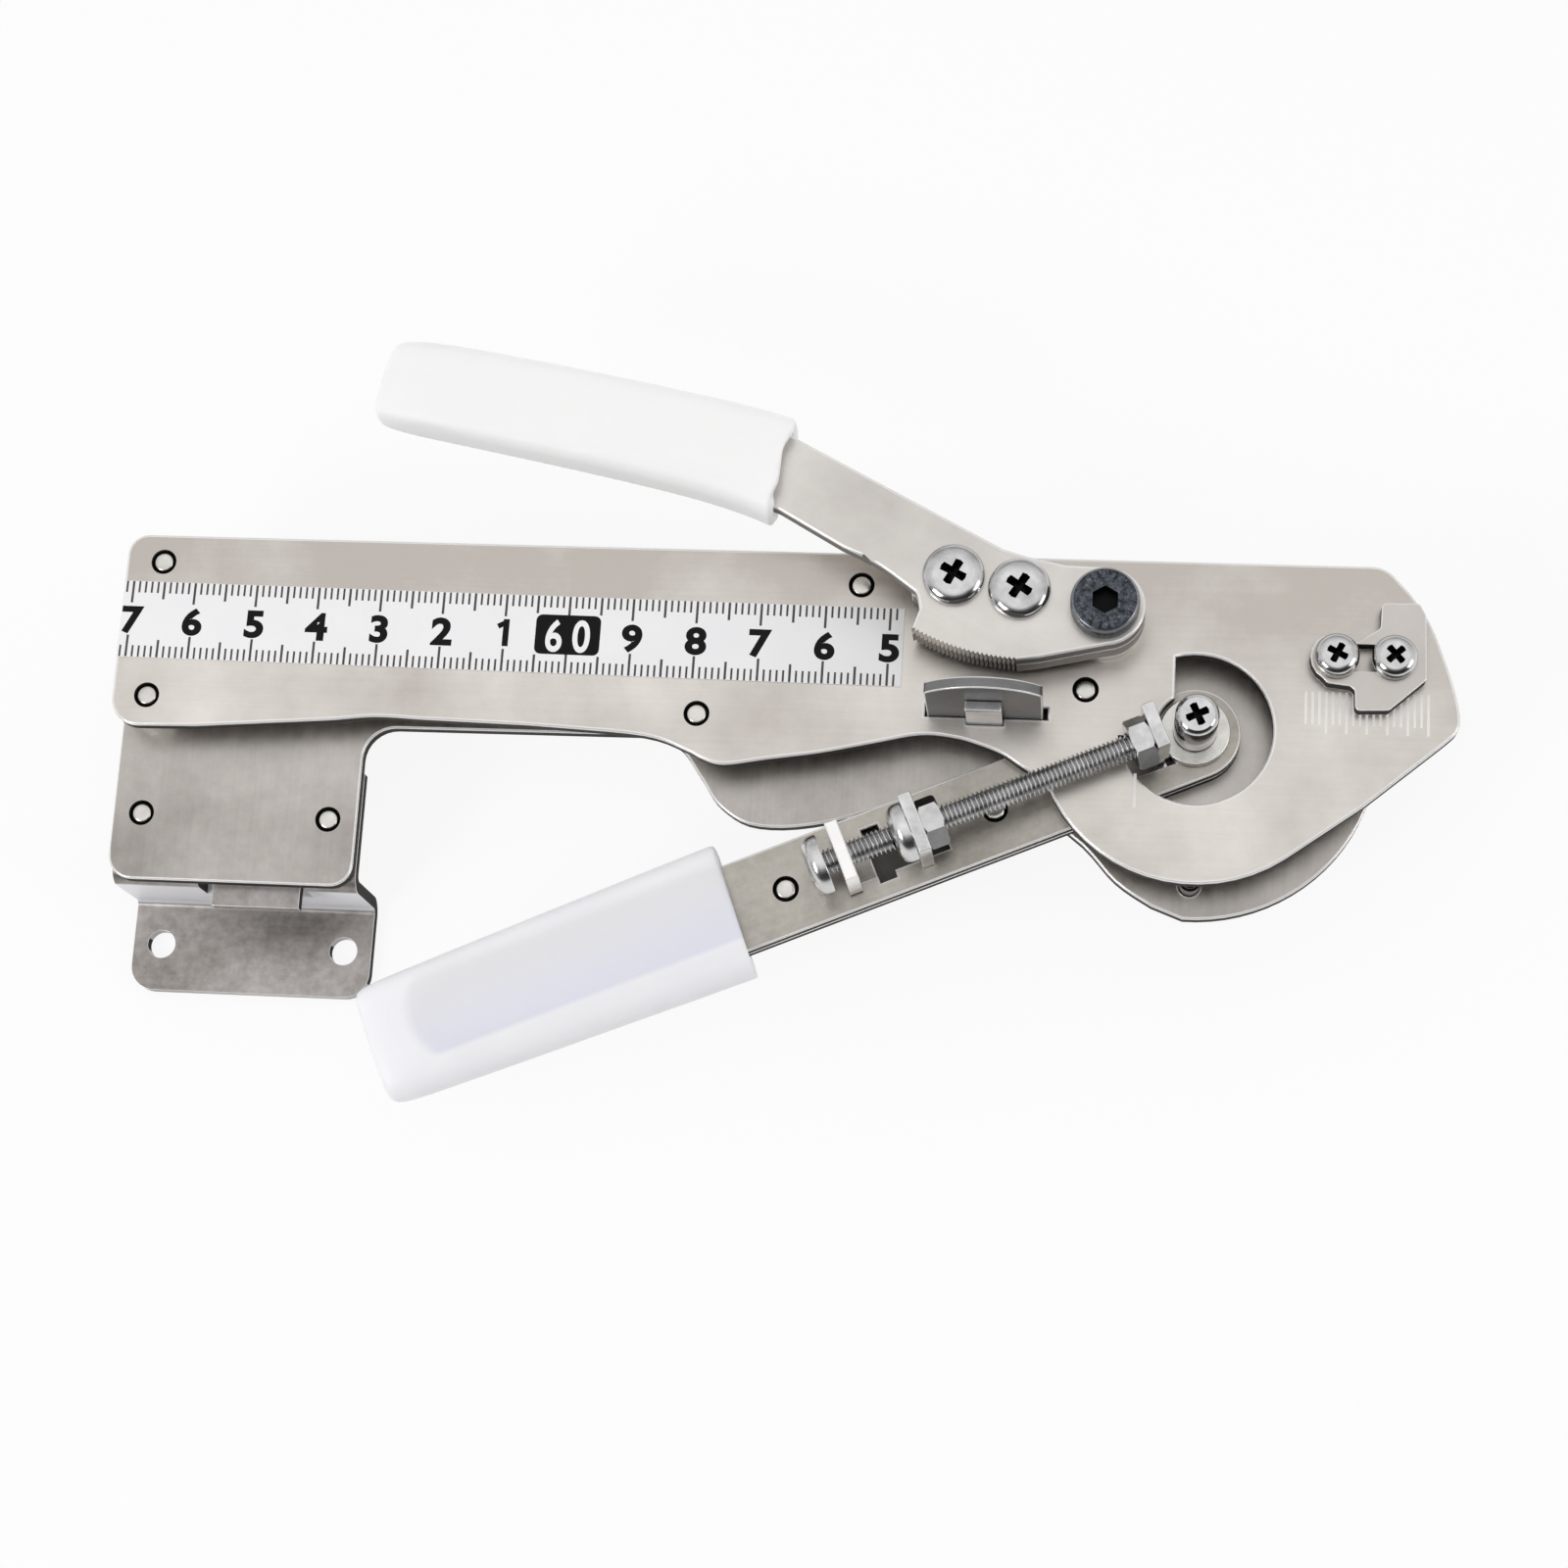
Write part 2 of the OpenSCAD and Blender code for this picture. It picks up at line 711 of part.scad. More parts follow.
module mandrel_screw() {
    seat = z_bush + bush_flange_t;
    edge = mandrel_d * 0.08;
    shank = seat - z_rear + nut_t + screw_stub;
    color([0.86, 0.86, 0.85])
        place(pivot, seat)
            difference() {
                union() {
                    rotate_extrude()
                        polygon([[0, 0], [mandrel_d / 2, 0],
                                 [mandrel_d / 2, mandrel_h - edge],
                                 [mandrel_d / 2 - edge, mandrel_h], [0, mandrel_h]]);
                    translate([0, 0, -shank])
                        cylinder(d = thread_d, h = shank + mandrel_h / 4);
                }
                rotate(65) cross_recess(mandrel_d, mandrel_h);
            }
}

module mandrel_nut() {
    color([0.6, 0.6, 0.6])
        place(pivot, z_rear - nut_t) hex_nut(nut_d, nut_t, thread_d + 2 * seat_fit);
}

// Bending arm

// Flat bar from x0 to the rounded tip, grown by g all round
module arm_bar(x0, g) {
    tip_r = arm_w / 2;
    translate([arm_l - tip_r, 0]) circle(r = tip_r + g, $fn = 96);
    translate([x0, -tip_r - g]) square([arm_l - tip_r - x0, arm_w + 2 * g]);
}

module arm_outline() {
    arm_bar(0, 0);
    circle(d = arm_w, $fn = 96);
}

module arm_sheet(z) {
    difference() {
        translate([0, 0, z]) linear_extrude(arm_t) arm_outline();
        translate([0, 0, z - over])
            cylinder(d = bush_d + 2 * run_fit, h = arm_t + 2 * over);
        for (x = arm_rivet_x)
            translate([x, 0, z - over])
                cylinder(d = rivet_d + 2 * seat_fit, h = arm_t + 2 * over);
    }
}

module slot(x0, x1, w, z) {
    box(x0, x1, -w / 2, w / 2, z - over, z + arm_t + over);
}

module arm_top_sheet() {
    color([0.74, 0.73, 0.7])
        on_arm() {
            difference() {
                arm_sheet(z_seam);
                slot(slot_from, slot_from + finger_slot_l, slot_w, z_seam);
                slot(slide_slot_from, lug_x - lug_t / 2, slot_w, z_seam);
                slot(notch_from, notch_from + notch_l, notch_w, z_seam);
            }
            difference() {
                box(lug_x - lug_t / 2, lug_x + lug_t / 2, -lug_w / 2, lug_w / 2,
                    z_deck - seat_fit, z_deck + lug_h);
                along_arm(lug_x - lug_t)
                    cylinder(d = thread_d + 2 * run_fit, h = 2 * lug_t);
            }
        }
}

module arm_bottom_sheet() {
    color([0.62, 0.61, 0.58])
        on_arm()
            difference() {
                arm_sheet(z_arm);
                slot(slot_from, slot_from + finger_slot_l, pocket_w, z_arm);
                slot(slide_slot_from, notch_from + notch_l, pocket_w, z_arm);
            }
}

module arm_rivets() {
    color([0.84, 0.83, 0.81])
        on_arm()
            for (x = arm_rivet_x)
                translate([x, 0, 0]) rivet(z_arm, z_deck);
}

// Sliding lug: shoulders on the arm, neck through the slot, wider foot below it
module slide_lug() {
    neck = slot_w / 2 - slide_gap;
    color([0.83, 0.82, 0.8])
        on_arm()
            difference() {
                union() {
                    box(slide_x, slide_x + lug_t, -lug_w / 2, lug_w / 2,
                        z_deck + lug_foot_gap, z_deck + lug_h);
                    box(slide_x, slide_x + lug_t, -neck, neck, z_seam - arm_t / 2,
                        z_deck + lug_foot_gap + seat_fit);
                    box(slide_x, slide_x + lug_t, -foot_w / 2, foot_w / 2,
                        z_arm + foot_gap, z_seam - foot_gap);
                }
                along_arm(slide_x - lug_t)
                    cylinder(d = thread_d + 2 * seat_fit, h = 3 * lug_t);
            }
}

module bending_finger() {
    top = z_deck + lug_h;
    color([0.83, 0.82, 0.8])
        on_arm()
            difference() {
                union() {
                    box(finger_x, finger_x + lug_t, -finger_far, finger_side,
                        z_face + finger_lift, top);
                    box(finger_x + neck_relief, finger_x + lug_t, neck_from, finger_side,
                        z_seam - arm_t / 2, z_face + finger_lift + seat_fit);
                    box(finger_x, finger_x + lug_t, -foot_w / 2, foot_w / 2,
                        z_arm + foot_gap, z_seam - foot_gap);
                }
                along_arm(finger_x - lug_t)
                    cylinder(d = thread_d + 2 * seat_fit, h = 3 * lug_t);
            }
}

module long_screw() {
    under = slide_x + lug_t + screw_gap;
    color([0.85, 0.85, 0.84])
        on_arm()
            along_arm(under)
                pan_screw(thread_d, pan_d, pan_t, under - finger_x - seat_fit);
}

module arm_nut(x) {
    on_arm()
        along_arm(x) rotate(30)
            hex_nut(nut_d, nut_t, thread_d + 2 * seat_fit);
}

module lug_lock_nut() {
    color([0.87, 0.87, 0.86]) arm_nut(slide_x - nut_t);
}

module finger_lock_nut() {
    color([0.87, 0.87, 0.86]) arm_nut(finger_x + lug_t);
}

module adjusting_screw() {
    tip = slide_x + lug_t + screw_gap + pan_t;
    color([0.85, 0.85, 0.84])
        on_arm()
            along_arm(adjust_head_x)
                pan_screw(thread_d, pan_d, pan_t, adjust_head_x - tip);
}

// Sleeves: a soft tube with a closed far end, pushed over the flat handle

// Flat oval slice, w wide and t thick, standing across local X
module grip_slice(w, t) {
    r = t / 2;
    for (side = [-1, 1])
        translate([0, side * (w / 2 - r), 0]) rotate([0, 90, 0])
            cylinder(r = r, h = slice_t, $fn = 32);
}

// Soft tube through a list of stations: [along, side, width, thickness]
module grip_body(stations) {
    for (i = [0:len(stations) - 2])
        hull()
            for (q = [stations[i], stations[i + 1]])
                translate([q[0], q[1], 0]) grip_slice(q[2], q[3]);
}

module arm_sleeve() {
    w = arm_sleeve_w;
    v = arm_sleeve_end_w;
    t = sleeve_t;
    l = arm_sleeve_l;
    color([0.93, 0.94, 0.95])
        on_arm()
            difference() {
                translate([arm_sleeve_x, 0, z_seam])
                    grip_body([[0, 0, w, t], [l * 0.94, 0, v, t * 0.92],
                               [l, 0, v * 0.94, t * 0.7]]);
                translate([0, 0, z_arm - grip_fit])
                    linear_extrude(2 * arm_t + 2 * grip_fit) arm_bar(lug_x, grip_fit);
            }
}

// End stop

module end_stop() {
    origin = [stop_x, stop_y];
    outline = concat([for (a = [120:20:240]) at(origin, stop_boss_r, a)],
                     [for (s = stop_shares) origin + s * stop_pitch]);
    color([0.76, 0.75, 0.73])
        difference() {
            translate([0, 0, z_face])
                linear_extrude(stop_t)
                    polygon(rounded(outline, [for (p = outline) stop_t * 0.3]));
            for (x = [-stop_travel / 2, stop_pitch + stop_travel / 2])
                bore(origin + [x, 0], stop_slot_w, z_face, stop_t);
            translate([stop_x - stop_travel / 2, stop_y - stop_slot_w / 2,
                       z_face - over])
                cube([stop_pitch + stop_travel, stop_slot_w, stop_t + 2 * over]);
        }
}

module stop_screws() {
    color([0.87, 0.87, 0.86])
        for (i = [0, 1])
            place([stop_x + i * stop_pitch, stop_y], z_face + stop_t + slide_gap)
                pan_screw(stop_bolt_d, stop_head_d, stop_head_t,
                          stop_t + slide_gap + plate_t + plate_gap / 2);
}

module stop_nuts() {
    color([0.6, 0.6, 0.6])
        for (i = [0, 1])
            place([stop_x + i * stop_pitch, stop_y], z_front - plate_gap / 2)
                hex_nut(stop_bolt_d * 1.83 / cos(30), plate_gap / 2,
                        stop_bolt_d + 2 * seat_fit);
}

// Lever: round end on the screw, toothed cam, strip and bent handle

// Point d out along the strip, at a depth below its upper edge
function strip_at(d, depth) =
    at(at(lever_axis, d, strip_angle), strip_edge - depth, strip_angle - 90);

// Point d out along the bowed handle, at a side above its middle
function handle_at(d, side) =
    at(at(strip_at(bend_at, lever_w / 2), d, handle_angle), side, handle_angle - 90);

handle_line = smooth([for (s = bow_shares) [s.x * handle_l, s.y * lever_w]]);

function tooth_edge(depth) =
    let (step = (cam_angle_to - cam_angle_from) / tooth_count)
    [for (i = [0:tooth_count - 1]) for (k = [0, 1])
        at(cam_centre, cam_r - (k == 0 ? 0 : depth), cam_angle_from + (i + k / 2) * step)];

module head_outline(far) {
    start = strip_at(strip_from, 0);
    scoop = smooth([for (s = scoop_shares) lever_axis + s * lever_w]);
    polygon(concat(
        arc(lever_axis, lever_head_r, 85, -85),
        [lever_axis + cam_start_share * lever_w],
        tooth_edge(tooth_depth),
        [at(cam_centre, cam_r, cam_angle_to)],
        scoop,
        far,
        [start],
        [for (s = shoulder_shares) lever_axis + s * lever_w]));
}

module lever_plate() {
    n = len(handle_line) - 1;
    tip = handle_l + lever_w * 0.3;
    far = concat(
        [strip_at(bend_at - bend_ease, lever_w)],
        [for (i = [3:n]) handle_at(handle_line[i].x, handle_line[i].y - lever_w / 2)],
        [handle_at(tip, handle_line[n].y - lever_w * 0.2),
         handle_at(tip, handle_line[n].y + lever_w * 0.2)],
        [for (i = [n:-1:1]) handle_at(handle_line[i].x, handle_line[i].y + lever_w / 2)]);
    color([0.77, 0.76, 0.74])
        difference() {
            translate([0, 0, z_lever]) linear_extrude(lever_t) head_outline(far);
            bore(lever_axis, lever_bolt_d + 2 * run_fit, z_lever, lever_t);
            for (p = jaw_bolts)
                bore(p, jaw_bolt_d + 2 * seat_fit, z_lever, lever_t);
        }
}

module grip_jaw() {
    color([0.6, 0.59, 0.57])
        difference() {
            translate([0, 0, z_jaw])
                linear_extrude(jaw_t)
                    intersection() {
                        head_outline([]);
                        translate(lever_axis - [jaw_end_share * cam_r, cam_r])
                            square(2 * cam_r);
                    }
            bore(lever_axis, lever_bolt_d + 2 * run_fit, z_jaw, jaw_t);
            for (p = jaw_bolts)
                bore(p, jaw_bolt_d + 2 * seat_fit, z_jaw, jaw_t);
        }
}

module jaw_screws() {
    color([0.87, 0.87, 0.86])
        for (p = jaw_bolts)
            place(p, z_top) pan_screw(jaw_bolt_d, jaw_head_d, jaw_head_t,
                                      lever_t + jaw_t);
}

module lever_sleeve() {
    w = lever_sleeve_w;
    t = sleeve_t;
    l = lever_sleeve_l;
    mouth = strip_at(bend_at, lever_w / 2);
    bow = [for (s = bow_shares) s.y * lever_w];
    color([0.93, 0.94, 0.95])
        difference() {
            translate([mouth.x, mouth.y, z_lever + lever_t / 2]) rotate(handle_angle)
                mirror([0, 1, 0])
                    grip_body([[0, 0, w * 0.98, t], [l * 0.2, bow[1], w * 0.92, t],
                               [l * 0.45, bow[2], w * 0.9, t],
                               [l * 0.75, bow[3], w * 0.89, t * 0.95],
                               [l * 0.95, bow[4], w * 0.86, t * 0.9],
                               [l, 0, w * 0.72, t * 0.7]]);
            translate([0, 0, z_lever - grip_fit])
                linear_extrude(lever_t + 2 * grip_fit) handle_cut();
        }
}

module handle_cut() {
    n = len(handle_line) - 1;
    half = lever_w / 2 + grip_fit;
    tip = handle_l + lever_w * 0.3 + grip_fit;
    polygon(concat(
        [strip_at(bend_at - 2 * lever_w, lever_w + grip_fit)],
        [strip_at(bend_at - bend_ease, lever_w + grip_fit)],
        [for (i = [3:n]) handle_at(handle_line[i].x, handle_line[i].y - half)],
        [handle_at(tip, handle_line[n].y - half), handle_at(tip, handle_line[n].y + half)],
        [for (i = [n:-1:1]) handle_at(handle_line[i].x, handle_line[i].y + half)],
        [strip_at(bend_at - 2 * lever_w, -grip_fit)]));
}

front_plate();
rear_plate();
mount_bracket();
plate_spacers();
plate_rivets();
bracket_rivets();
arm_stop_pin();
ruler_tape();
anvil_plate();
anvil_post();
lever_screw();
lever_spacer();
lever_washer();
lever_nut();
pivot_bush();
mandrel_screw();
mandrel_nut();
stop_screws();
stop_nuts();
end_stop();
lever_plate();
grip_jaw();
jaw_screws();
lever_sleeve();
arm_top_sheet();
arm_bottom_sheet();
arm_rivets();
arm_sleeve();
slide_lug();
bending_finger();
long_screw();
lug_lock_nut();
finger_lock_nut();
adjusting_screw();
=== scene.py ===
# %% [markdown]
# # A bench wire bending tool, dressed in Blender
#
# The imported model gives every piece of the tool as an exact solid. This lesson gives those
# pieces the finish of the real ones: rolled sheet edges, cross recesses, cut threads, printed
# scales and soft handle sleeves. The model is in metres; the numbers below are millimetres,
# because a maker thinks in them, and one factor turns them into metres.

# %% Load the frame
import json
import math
import bpy
import bmesh
from mathutils import Matrix, Vector

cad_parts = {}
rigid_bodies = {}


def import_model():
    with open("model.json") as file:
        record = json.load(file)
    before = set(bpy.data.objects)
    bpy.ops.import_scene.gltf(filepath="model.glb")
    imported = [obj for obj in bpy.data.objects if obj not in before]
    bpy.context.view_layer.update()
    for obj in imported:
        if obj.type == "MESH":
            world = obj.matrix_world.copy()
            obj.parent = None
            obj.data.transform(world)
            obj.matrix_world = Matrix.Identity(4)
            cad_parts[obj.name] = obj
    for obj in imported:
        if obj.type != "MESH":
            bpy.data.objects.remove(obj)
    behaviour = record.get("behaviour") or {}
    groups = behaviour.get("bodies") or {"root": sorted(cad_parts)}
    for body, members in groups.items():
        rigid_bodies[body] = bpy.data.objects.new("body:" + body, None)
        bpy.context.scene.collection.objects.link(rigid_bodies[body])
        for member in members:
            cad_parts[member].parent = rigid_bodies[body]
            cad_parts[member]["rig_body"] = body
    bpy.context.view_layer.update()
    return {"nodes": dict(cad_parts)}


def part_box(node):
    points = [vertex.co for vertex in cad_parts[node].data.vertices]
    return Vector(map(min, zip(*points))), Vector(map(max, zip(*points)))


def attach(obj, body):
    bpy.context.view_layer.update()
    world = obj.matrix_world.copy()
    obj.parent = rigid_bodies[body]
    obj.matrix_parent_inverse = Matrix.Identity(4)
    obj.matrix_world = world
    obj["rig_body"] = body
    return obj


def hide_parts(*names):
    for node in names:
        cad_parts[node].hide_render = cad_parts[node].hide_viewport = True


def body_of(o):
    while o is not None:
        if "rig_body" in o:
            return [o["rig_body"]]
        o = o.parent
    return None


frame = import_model()
MM = 0.001
TO_METRES = Matrix.Scale(MM, 4)

# %% [markdown]
# ## Places on the tool
#
# The plates lie flat, the arm and the lever leave them at their own angles, and the rivets and
# screws stand in the holes of the solids. Finishes and pieces both need these places, so they
# are named once, in millimetres and degrees. The levels follow the stack from the bench up:
# bracket, rear plate, the gap in which the arm turns, front plate, jaw and lever.

# %% Angles, levels and places
HUB = (149.0, 34.9, 0.0)
PIVOT = Vector(HUB)
ARM_ANGLE, LEVER_ANGLE, HANDLE_ANGLE = 203.5, 151.6, 168.1
ON_ARM = Matrix.Translation(PIVOT) @ Matrix.Rotation(math.radians(ARM_ANGLE), 4, "Z")
LEVER_AXIS = Vector((134.8, 51.3, 0))
CAM_CENTRE = Vector((123.2, 78.2, 0))
CAM_R = 35.8
# The stack, then the arm's underside, seam and top, then the axis of the arm's two screws
Z_BRACKET, Z_REAR, Z_GAP, Z_FRONT, Z_FACE, Z_TOP = 15.0, 17.0, 19.5, 24.0, 26.5, 35.0
Z_ARM, Z_SEAM, Z_DECK = 19.75, 21.75, 23.75
Z_AXIS = 30.5
PLATE_RIVETS = [(-13.6, 56.9), (-14.0, 35.0), (72.9, 34.8), (97.3, 56.2)]
STANDOFF = (132.3, 40.5)
BLOCK_RIVETS = [(-15, 17.65), (15, 17.65)]
ARM_RIVETS = [(32.5, 0), (66.5, 0)]
# Screws with a cross recess: place, and how far the recess is turned
JAW_SCREWS = [(111.9, 55.3, 62), (121.9, 53.4, 58)]
STOP_SCREWS = [(169.7, 46.1, 63), (178.3, 46.1, 42)]
WINDOW_CORNER = (137.8, 32.6)
print("rivets:", len(PLATE_RIVETS + [STANDOFF] + BLOCK_RIVETS + ARM_RIVETS),
      "levels:", Z_BRACKET, "to", Z_TOP)

# %% [markdown]
# ## Shader maths as Python expressions
#
# A material is a graph of nodes. Writing `0.3 + 0.1 * streak` is easier to read than wiring
# Math nodes one by one, so a small class wraps one output socket and overloads the operators.

# %% A socket with arithmetic, and the paint box that makes nodes
class Field:
    """One output socket of a node tree, with arithmetic."""

    def __init__(self, paint, socket):
        self.paint, self.socket = paint, socket

    def math(self, operation, first, second, clamp=False):
        return self.paint.node("ShaderNodeMath", {"operation": operation, "use_clamp": clamp},
                               {0: first, 1: second})

    def __add__(self, other):
        return self.math("ADD", self, other)

    def __sub__(self, other):
        return self.math("SUBTRACT", self, other)

    def __rsub__(self, other):
        return self.math("SUBTRACT", other, self)

    def __mul__(self, other):
        return self.math("MULTIPLY", self, other)

    __radd__ = __add__
    __rmul__ = __mul__

    def clamped(self):
        return self.math("ADD", self, 0.0, clamp=True)


class Paint:
    """Adds nodes to one tree: a type, its settings, then the values or links of its sockets."""

    def __init__(self, owner):
        owner.use_nodes = True
        self.owner, self.tree = owner, owner.node_tree

    def node(self, kind, settings=None, inputs=None, out=0):
        made = self.tree.nodes.new(kind)
        for key, value in (settings or {}).items():
            setattr(made, key, value)
        for key, value in (inputs or {}).items():
            self.plug(made.inputs[key], value)
        return Field(self, made.outputs[out])

    def plug(self, socket, value):
        if isinstance(value, Field):
            self.tree.links.new(value.socket, socket)
        else:
            socket.default_value = value

    def mm(self):
        """The place on the piece, in millimetres."""
        return self.scaled(self.node("ShaderNodeTexCoord", out="Object"), (1000, 1000, 1000))

    def scaled(self, vector, factors):
        return self.node("ShaderNodeVectorMath", {"operation": "MULTIPLY"},
                         {0: vector, 1: factors})

    def turned(self, vector, degrees, centre=(0, 0, 0)):
        """The same place, in axes whose X runs along a direction in the XY plane."""
        return self.node("ShaderNodeVectorRotate", {"rotation_type": "Z_AXIS"},
                         {"Vector": vector, "Center": centre,
                          "Angle": math.radians(-degrees)})

    def noise(self, vector, scale, detail, rough):
        return self.node("ShaderNodeTexNoise", {}, {"Vector": vector, "Scale": scale,
                                                    "Detail": detail, "Roughness": rough})

    def part(self, vector, axis):
        return self.node("ShaderNodeSeparateXYZ", {}, {0: vector}, out=axis)

    def steps(self, value, low, high):
        """Rises smoothly from 0 to 1 between low and high."""
        return self.node("ShaderNodeMapRange", {"interpolation_type": "SMOOTHSTEP"},
                         {"Value": value, "From Min": low, "From Max": high})

    def mix(self, factor, first, second):
        return self.node("ShaderNodeMix", {"data_type": "RGBA"},
                         {0: factor, 6: first, 7: second}, out=2)

    def mark(self, name):
        """1 on the faces that a piece's mesh marks with this name, 0 elsewhere."""
        return self.node("ShaderNodeAttribute", {"attribute_name": name}, out="Fac")


def seen(red, green, blue):
    """A colour as it is seen on screen, turned into the light values that shaders use."""
    return tuple(((c + 0.055) / 1.055) ** 2.4 if c > 0.04045 else c / 12.92
                 for c in (red, green, blue)) + (1.0,)


def finish(colour, roughness, height, lift, fixed, metallic=None):
    """Ends a material: colour and roughness may be fields, height is in millimetres x lift."""
    paint = colour.paint
    shader = paint.tree.nodes["Principled BSDF"]
    paint.plug(shader.inputs["Base Color"], colour)
    paint.plug(shader.inputs["Roughness"], roughness)
    for key, value in fixed.items():
        shader.inputs[key].default_value = value
    if metallic is not None:
        paint.plug(shader.inputs["Metallic"], metallic)
    bump = paint.node("ShaderNodeBump", {}, {"Strength": 1.0, "Distance": lift * MM,
                                             "Height": height}, out="Normal")
    paint.plug(shader.inputs["Normal"], bump)
    print("finish:", paint.owner.name, len(paint.tree.nodes), "nodes")
    return paint.owner


def paint_box(name):
    return Paint(bpy.data.materials.new(name))


print("white as the shaders see it:", seen(1, 1, 1))

# %% [markdown]
# ## Rolled stainless sheet
#
# The plates, the lever and the arm are cut from stainless sheet. Rolling leaves streaks along
# the sheet, handling leaves soft clouds, and tumbling after the cut polishes the edges. Noise
# that is squeezed across the rolling direction and stretched along it makes the streaks. A
# painted highlight, near white and less metallic, follows the `edge` mark that the meshes
# carry, so it is exactly as wide as the rounding is. The sheared side of the sheet, marked
# `cut`, is duller, as sheared steel is, and is painted nearly black as shade.

# %% Sheet finish
# Each pair of places is where a change starts and ends: the painted shade on the far half of a
# plate, the foot of the arm's bent-up lug, above which the lug is painted lighter as a
# highlight, and the front, foot and top of the painted highlight on the bracket's wall
SHADE_Y, LUG_Z = (40.0, 62.0), (24.0, 24.8)
WALL_Y, WALL_FOOT, WALL_TOP = (6.4, 7.0), (0.8, 2.6), (14.0, 15.0)


def sheet_steel(name, light, dark, grain=0.0, dull=0.34, streaks=0.5, specks=0.4, shear=0.95,
                shade=0.0, wall=False, lug=False):
    paint = paint_box(name)
    place = paint.mm()
    along = paint.turned(place, grain)
    streak = paint.noise(paint.scaled(along, (0.03, 1.6, 0.5)), 1.0, 4.0, 0.6)
    hair = paint.noise(paint.scaled(along, (0.16, 7.0, 2.0)), 1.0, 2.0, 0.5)
    cloud = paint.noise(place, 0.05, 3.0, 0.5)
    mottle = paint.noise(place, 0.55, 4.0, 0.65)
    grit = paint.noise(place, 5.0, 2.0, 0.5)
    edge, cut = paint.mark("edge"), paint.mark("cut")
    y, z = paint.part(place, "Y"), paint.part(place, "Z")
    # Painted highlight: the upright part of the lug takes lighter colours, and its cut sides
    # lose their dark shade.
    if lug:
        raised = paint.steps(z, *LUG_Z)
        light = paint.mix(raised, light, seen(0.97, 0.965, 0.96))
        dark = paint.mix(raised, dark, seen(0.90, 0.895, 0.89))
        cut = cut * (1 - raised)
    # Painted shade: the far half of a plate is darker by the given shade.
    tone = (0.5 + (streak - 0.5) * (0.7 * streaks) + (cloud - 0.5) * 1.8
            + (mottle - 0.5) * specks + (hair - 0.5) * (0.3 * streaks)
            - paint.steps(y, *SHADE_Y) * shade).clamped()
    body = paint.mix(tone, dark, light)
    metallic = (1 - edge * 0.65 - cut * shear).clamped()
    if wall:
        # Painted highlight: the bracket's wall is painted near white and less metallic.
        bloom = (paint.steps(y, *WALL_Y) * (1 - paint.steps(z, *WALL_TOP))
                 * paint.steps(z, *WALL_FOOT) * (1 - cut))
        body = paint.mix(bloom, body, seen(0.97, 0.97, 0.99))
        metallic = metallic * (1 - bloom * 0.85)
    # The sheared side gets a nearly black colour: duller steel, painted darker as shade. The
    # rounded edge gets a near-white painted highlight.
    sheared = paint.mix(grit, seen(0.03, 0.03, 0.03), seen(0.19, 0.185, 0.18))
    colour = paint.mix(edge * 0.8, paint.mix(cut * shear, body, sheared),
                       seen(0.96, 0.955, 0.95))
    roughness = ((dull + (streak - 0.5) * 0.14 + (mottle - 0.5) * 0.12 + cut * 0.4)
                 * (1 - edge * 0.4))
    height = hair * (0.5 * streaks) + streak * (0.3 * streaks) + grit * 0.4 + mottle * 0.5
    return finish(colour, roughness, height, 0.012, {"Specular IOR Level": 0.2}, metallic)


plate_steel = sheet_steel("satin_plate_steel", seen(0.89, 0.87, 0.85), seen(0.74, 0.715, 0.69),
                          shade=0.55)
# The rear plate is painted darker than the front plate, as painted shade under it.
rear_steel = sheet_steel("satin_rear_steel", seen(0.78, 0.76, 0.74), seen(0.60, 0.58, 0.56),
                         grain=90, specks=0.6)
arm_steel = sheet_steel("satin_arm_steel", seen(0.74, 0.72, 0.69), seen(0.56, 0.54, 0.51),
                        grain=ARM_ANGLE, specks=0.9, lug=True)
lever_steel = sheet_steel("satin_lever_steel", seen(0.88, 0.865, 0.845), seen(0.75, 0.73, 0.71),
                          grain=LEVER_ANGLE, streaks=0.4, shear=0.6)
jaw_steel = sheet_steel("sawn_jaw_steel", seen(0.66, 0.63, 0.61), seen(0.42, 0.40, 0.38),
                        grain=LEVER_ANGLE, dull=0.42, specks=0.8)
bracket_steel = sheet_steel("pickled_bracket_steel", seen(0.72, 0.70, 0.69),
                            seen(0.50, 0.48, 0.46), dull=0.4, streaks=0.3, specks=1.3,
                            wall=True)
anvil_steel = sheet_steel("ground_anvil_steel", seen(0.54, 0.54, 0.54),
                          seen(0.38, 0.38, 0.385), dull=0.36, streaks=0.8, shear=0.0)
stop_steel = sheet_steel("satin_stop_steel", seen(0.82, 0.80, 0.78), seen(0.72, 0.70, 0.68),
                         grain=60, streaks=0.5)

# %% [markdown]
# ## Plated and turned parts
#
# Screws, nuts and lugs are bright zinc over turned steel. The plating is smooth, so most of
# their look comes from what they mirror; fine rings round the axis and a few dull patches
# keep them from looking like glass. Their rounded edges are painted lighter as a highlight,
# and their recesses, grooves and shaded facets, which the meshes mark, are painted nearly
# black as shade. Black oxide is a thin dark skin over the same turned steel, with grains of
# bare metal where it has rubbed off; its rim is painted lighter, partly as wear and partly as a
# highlight.

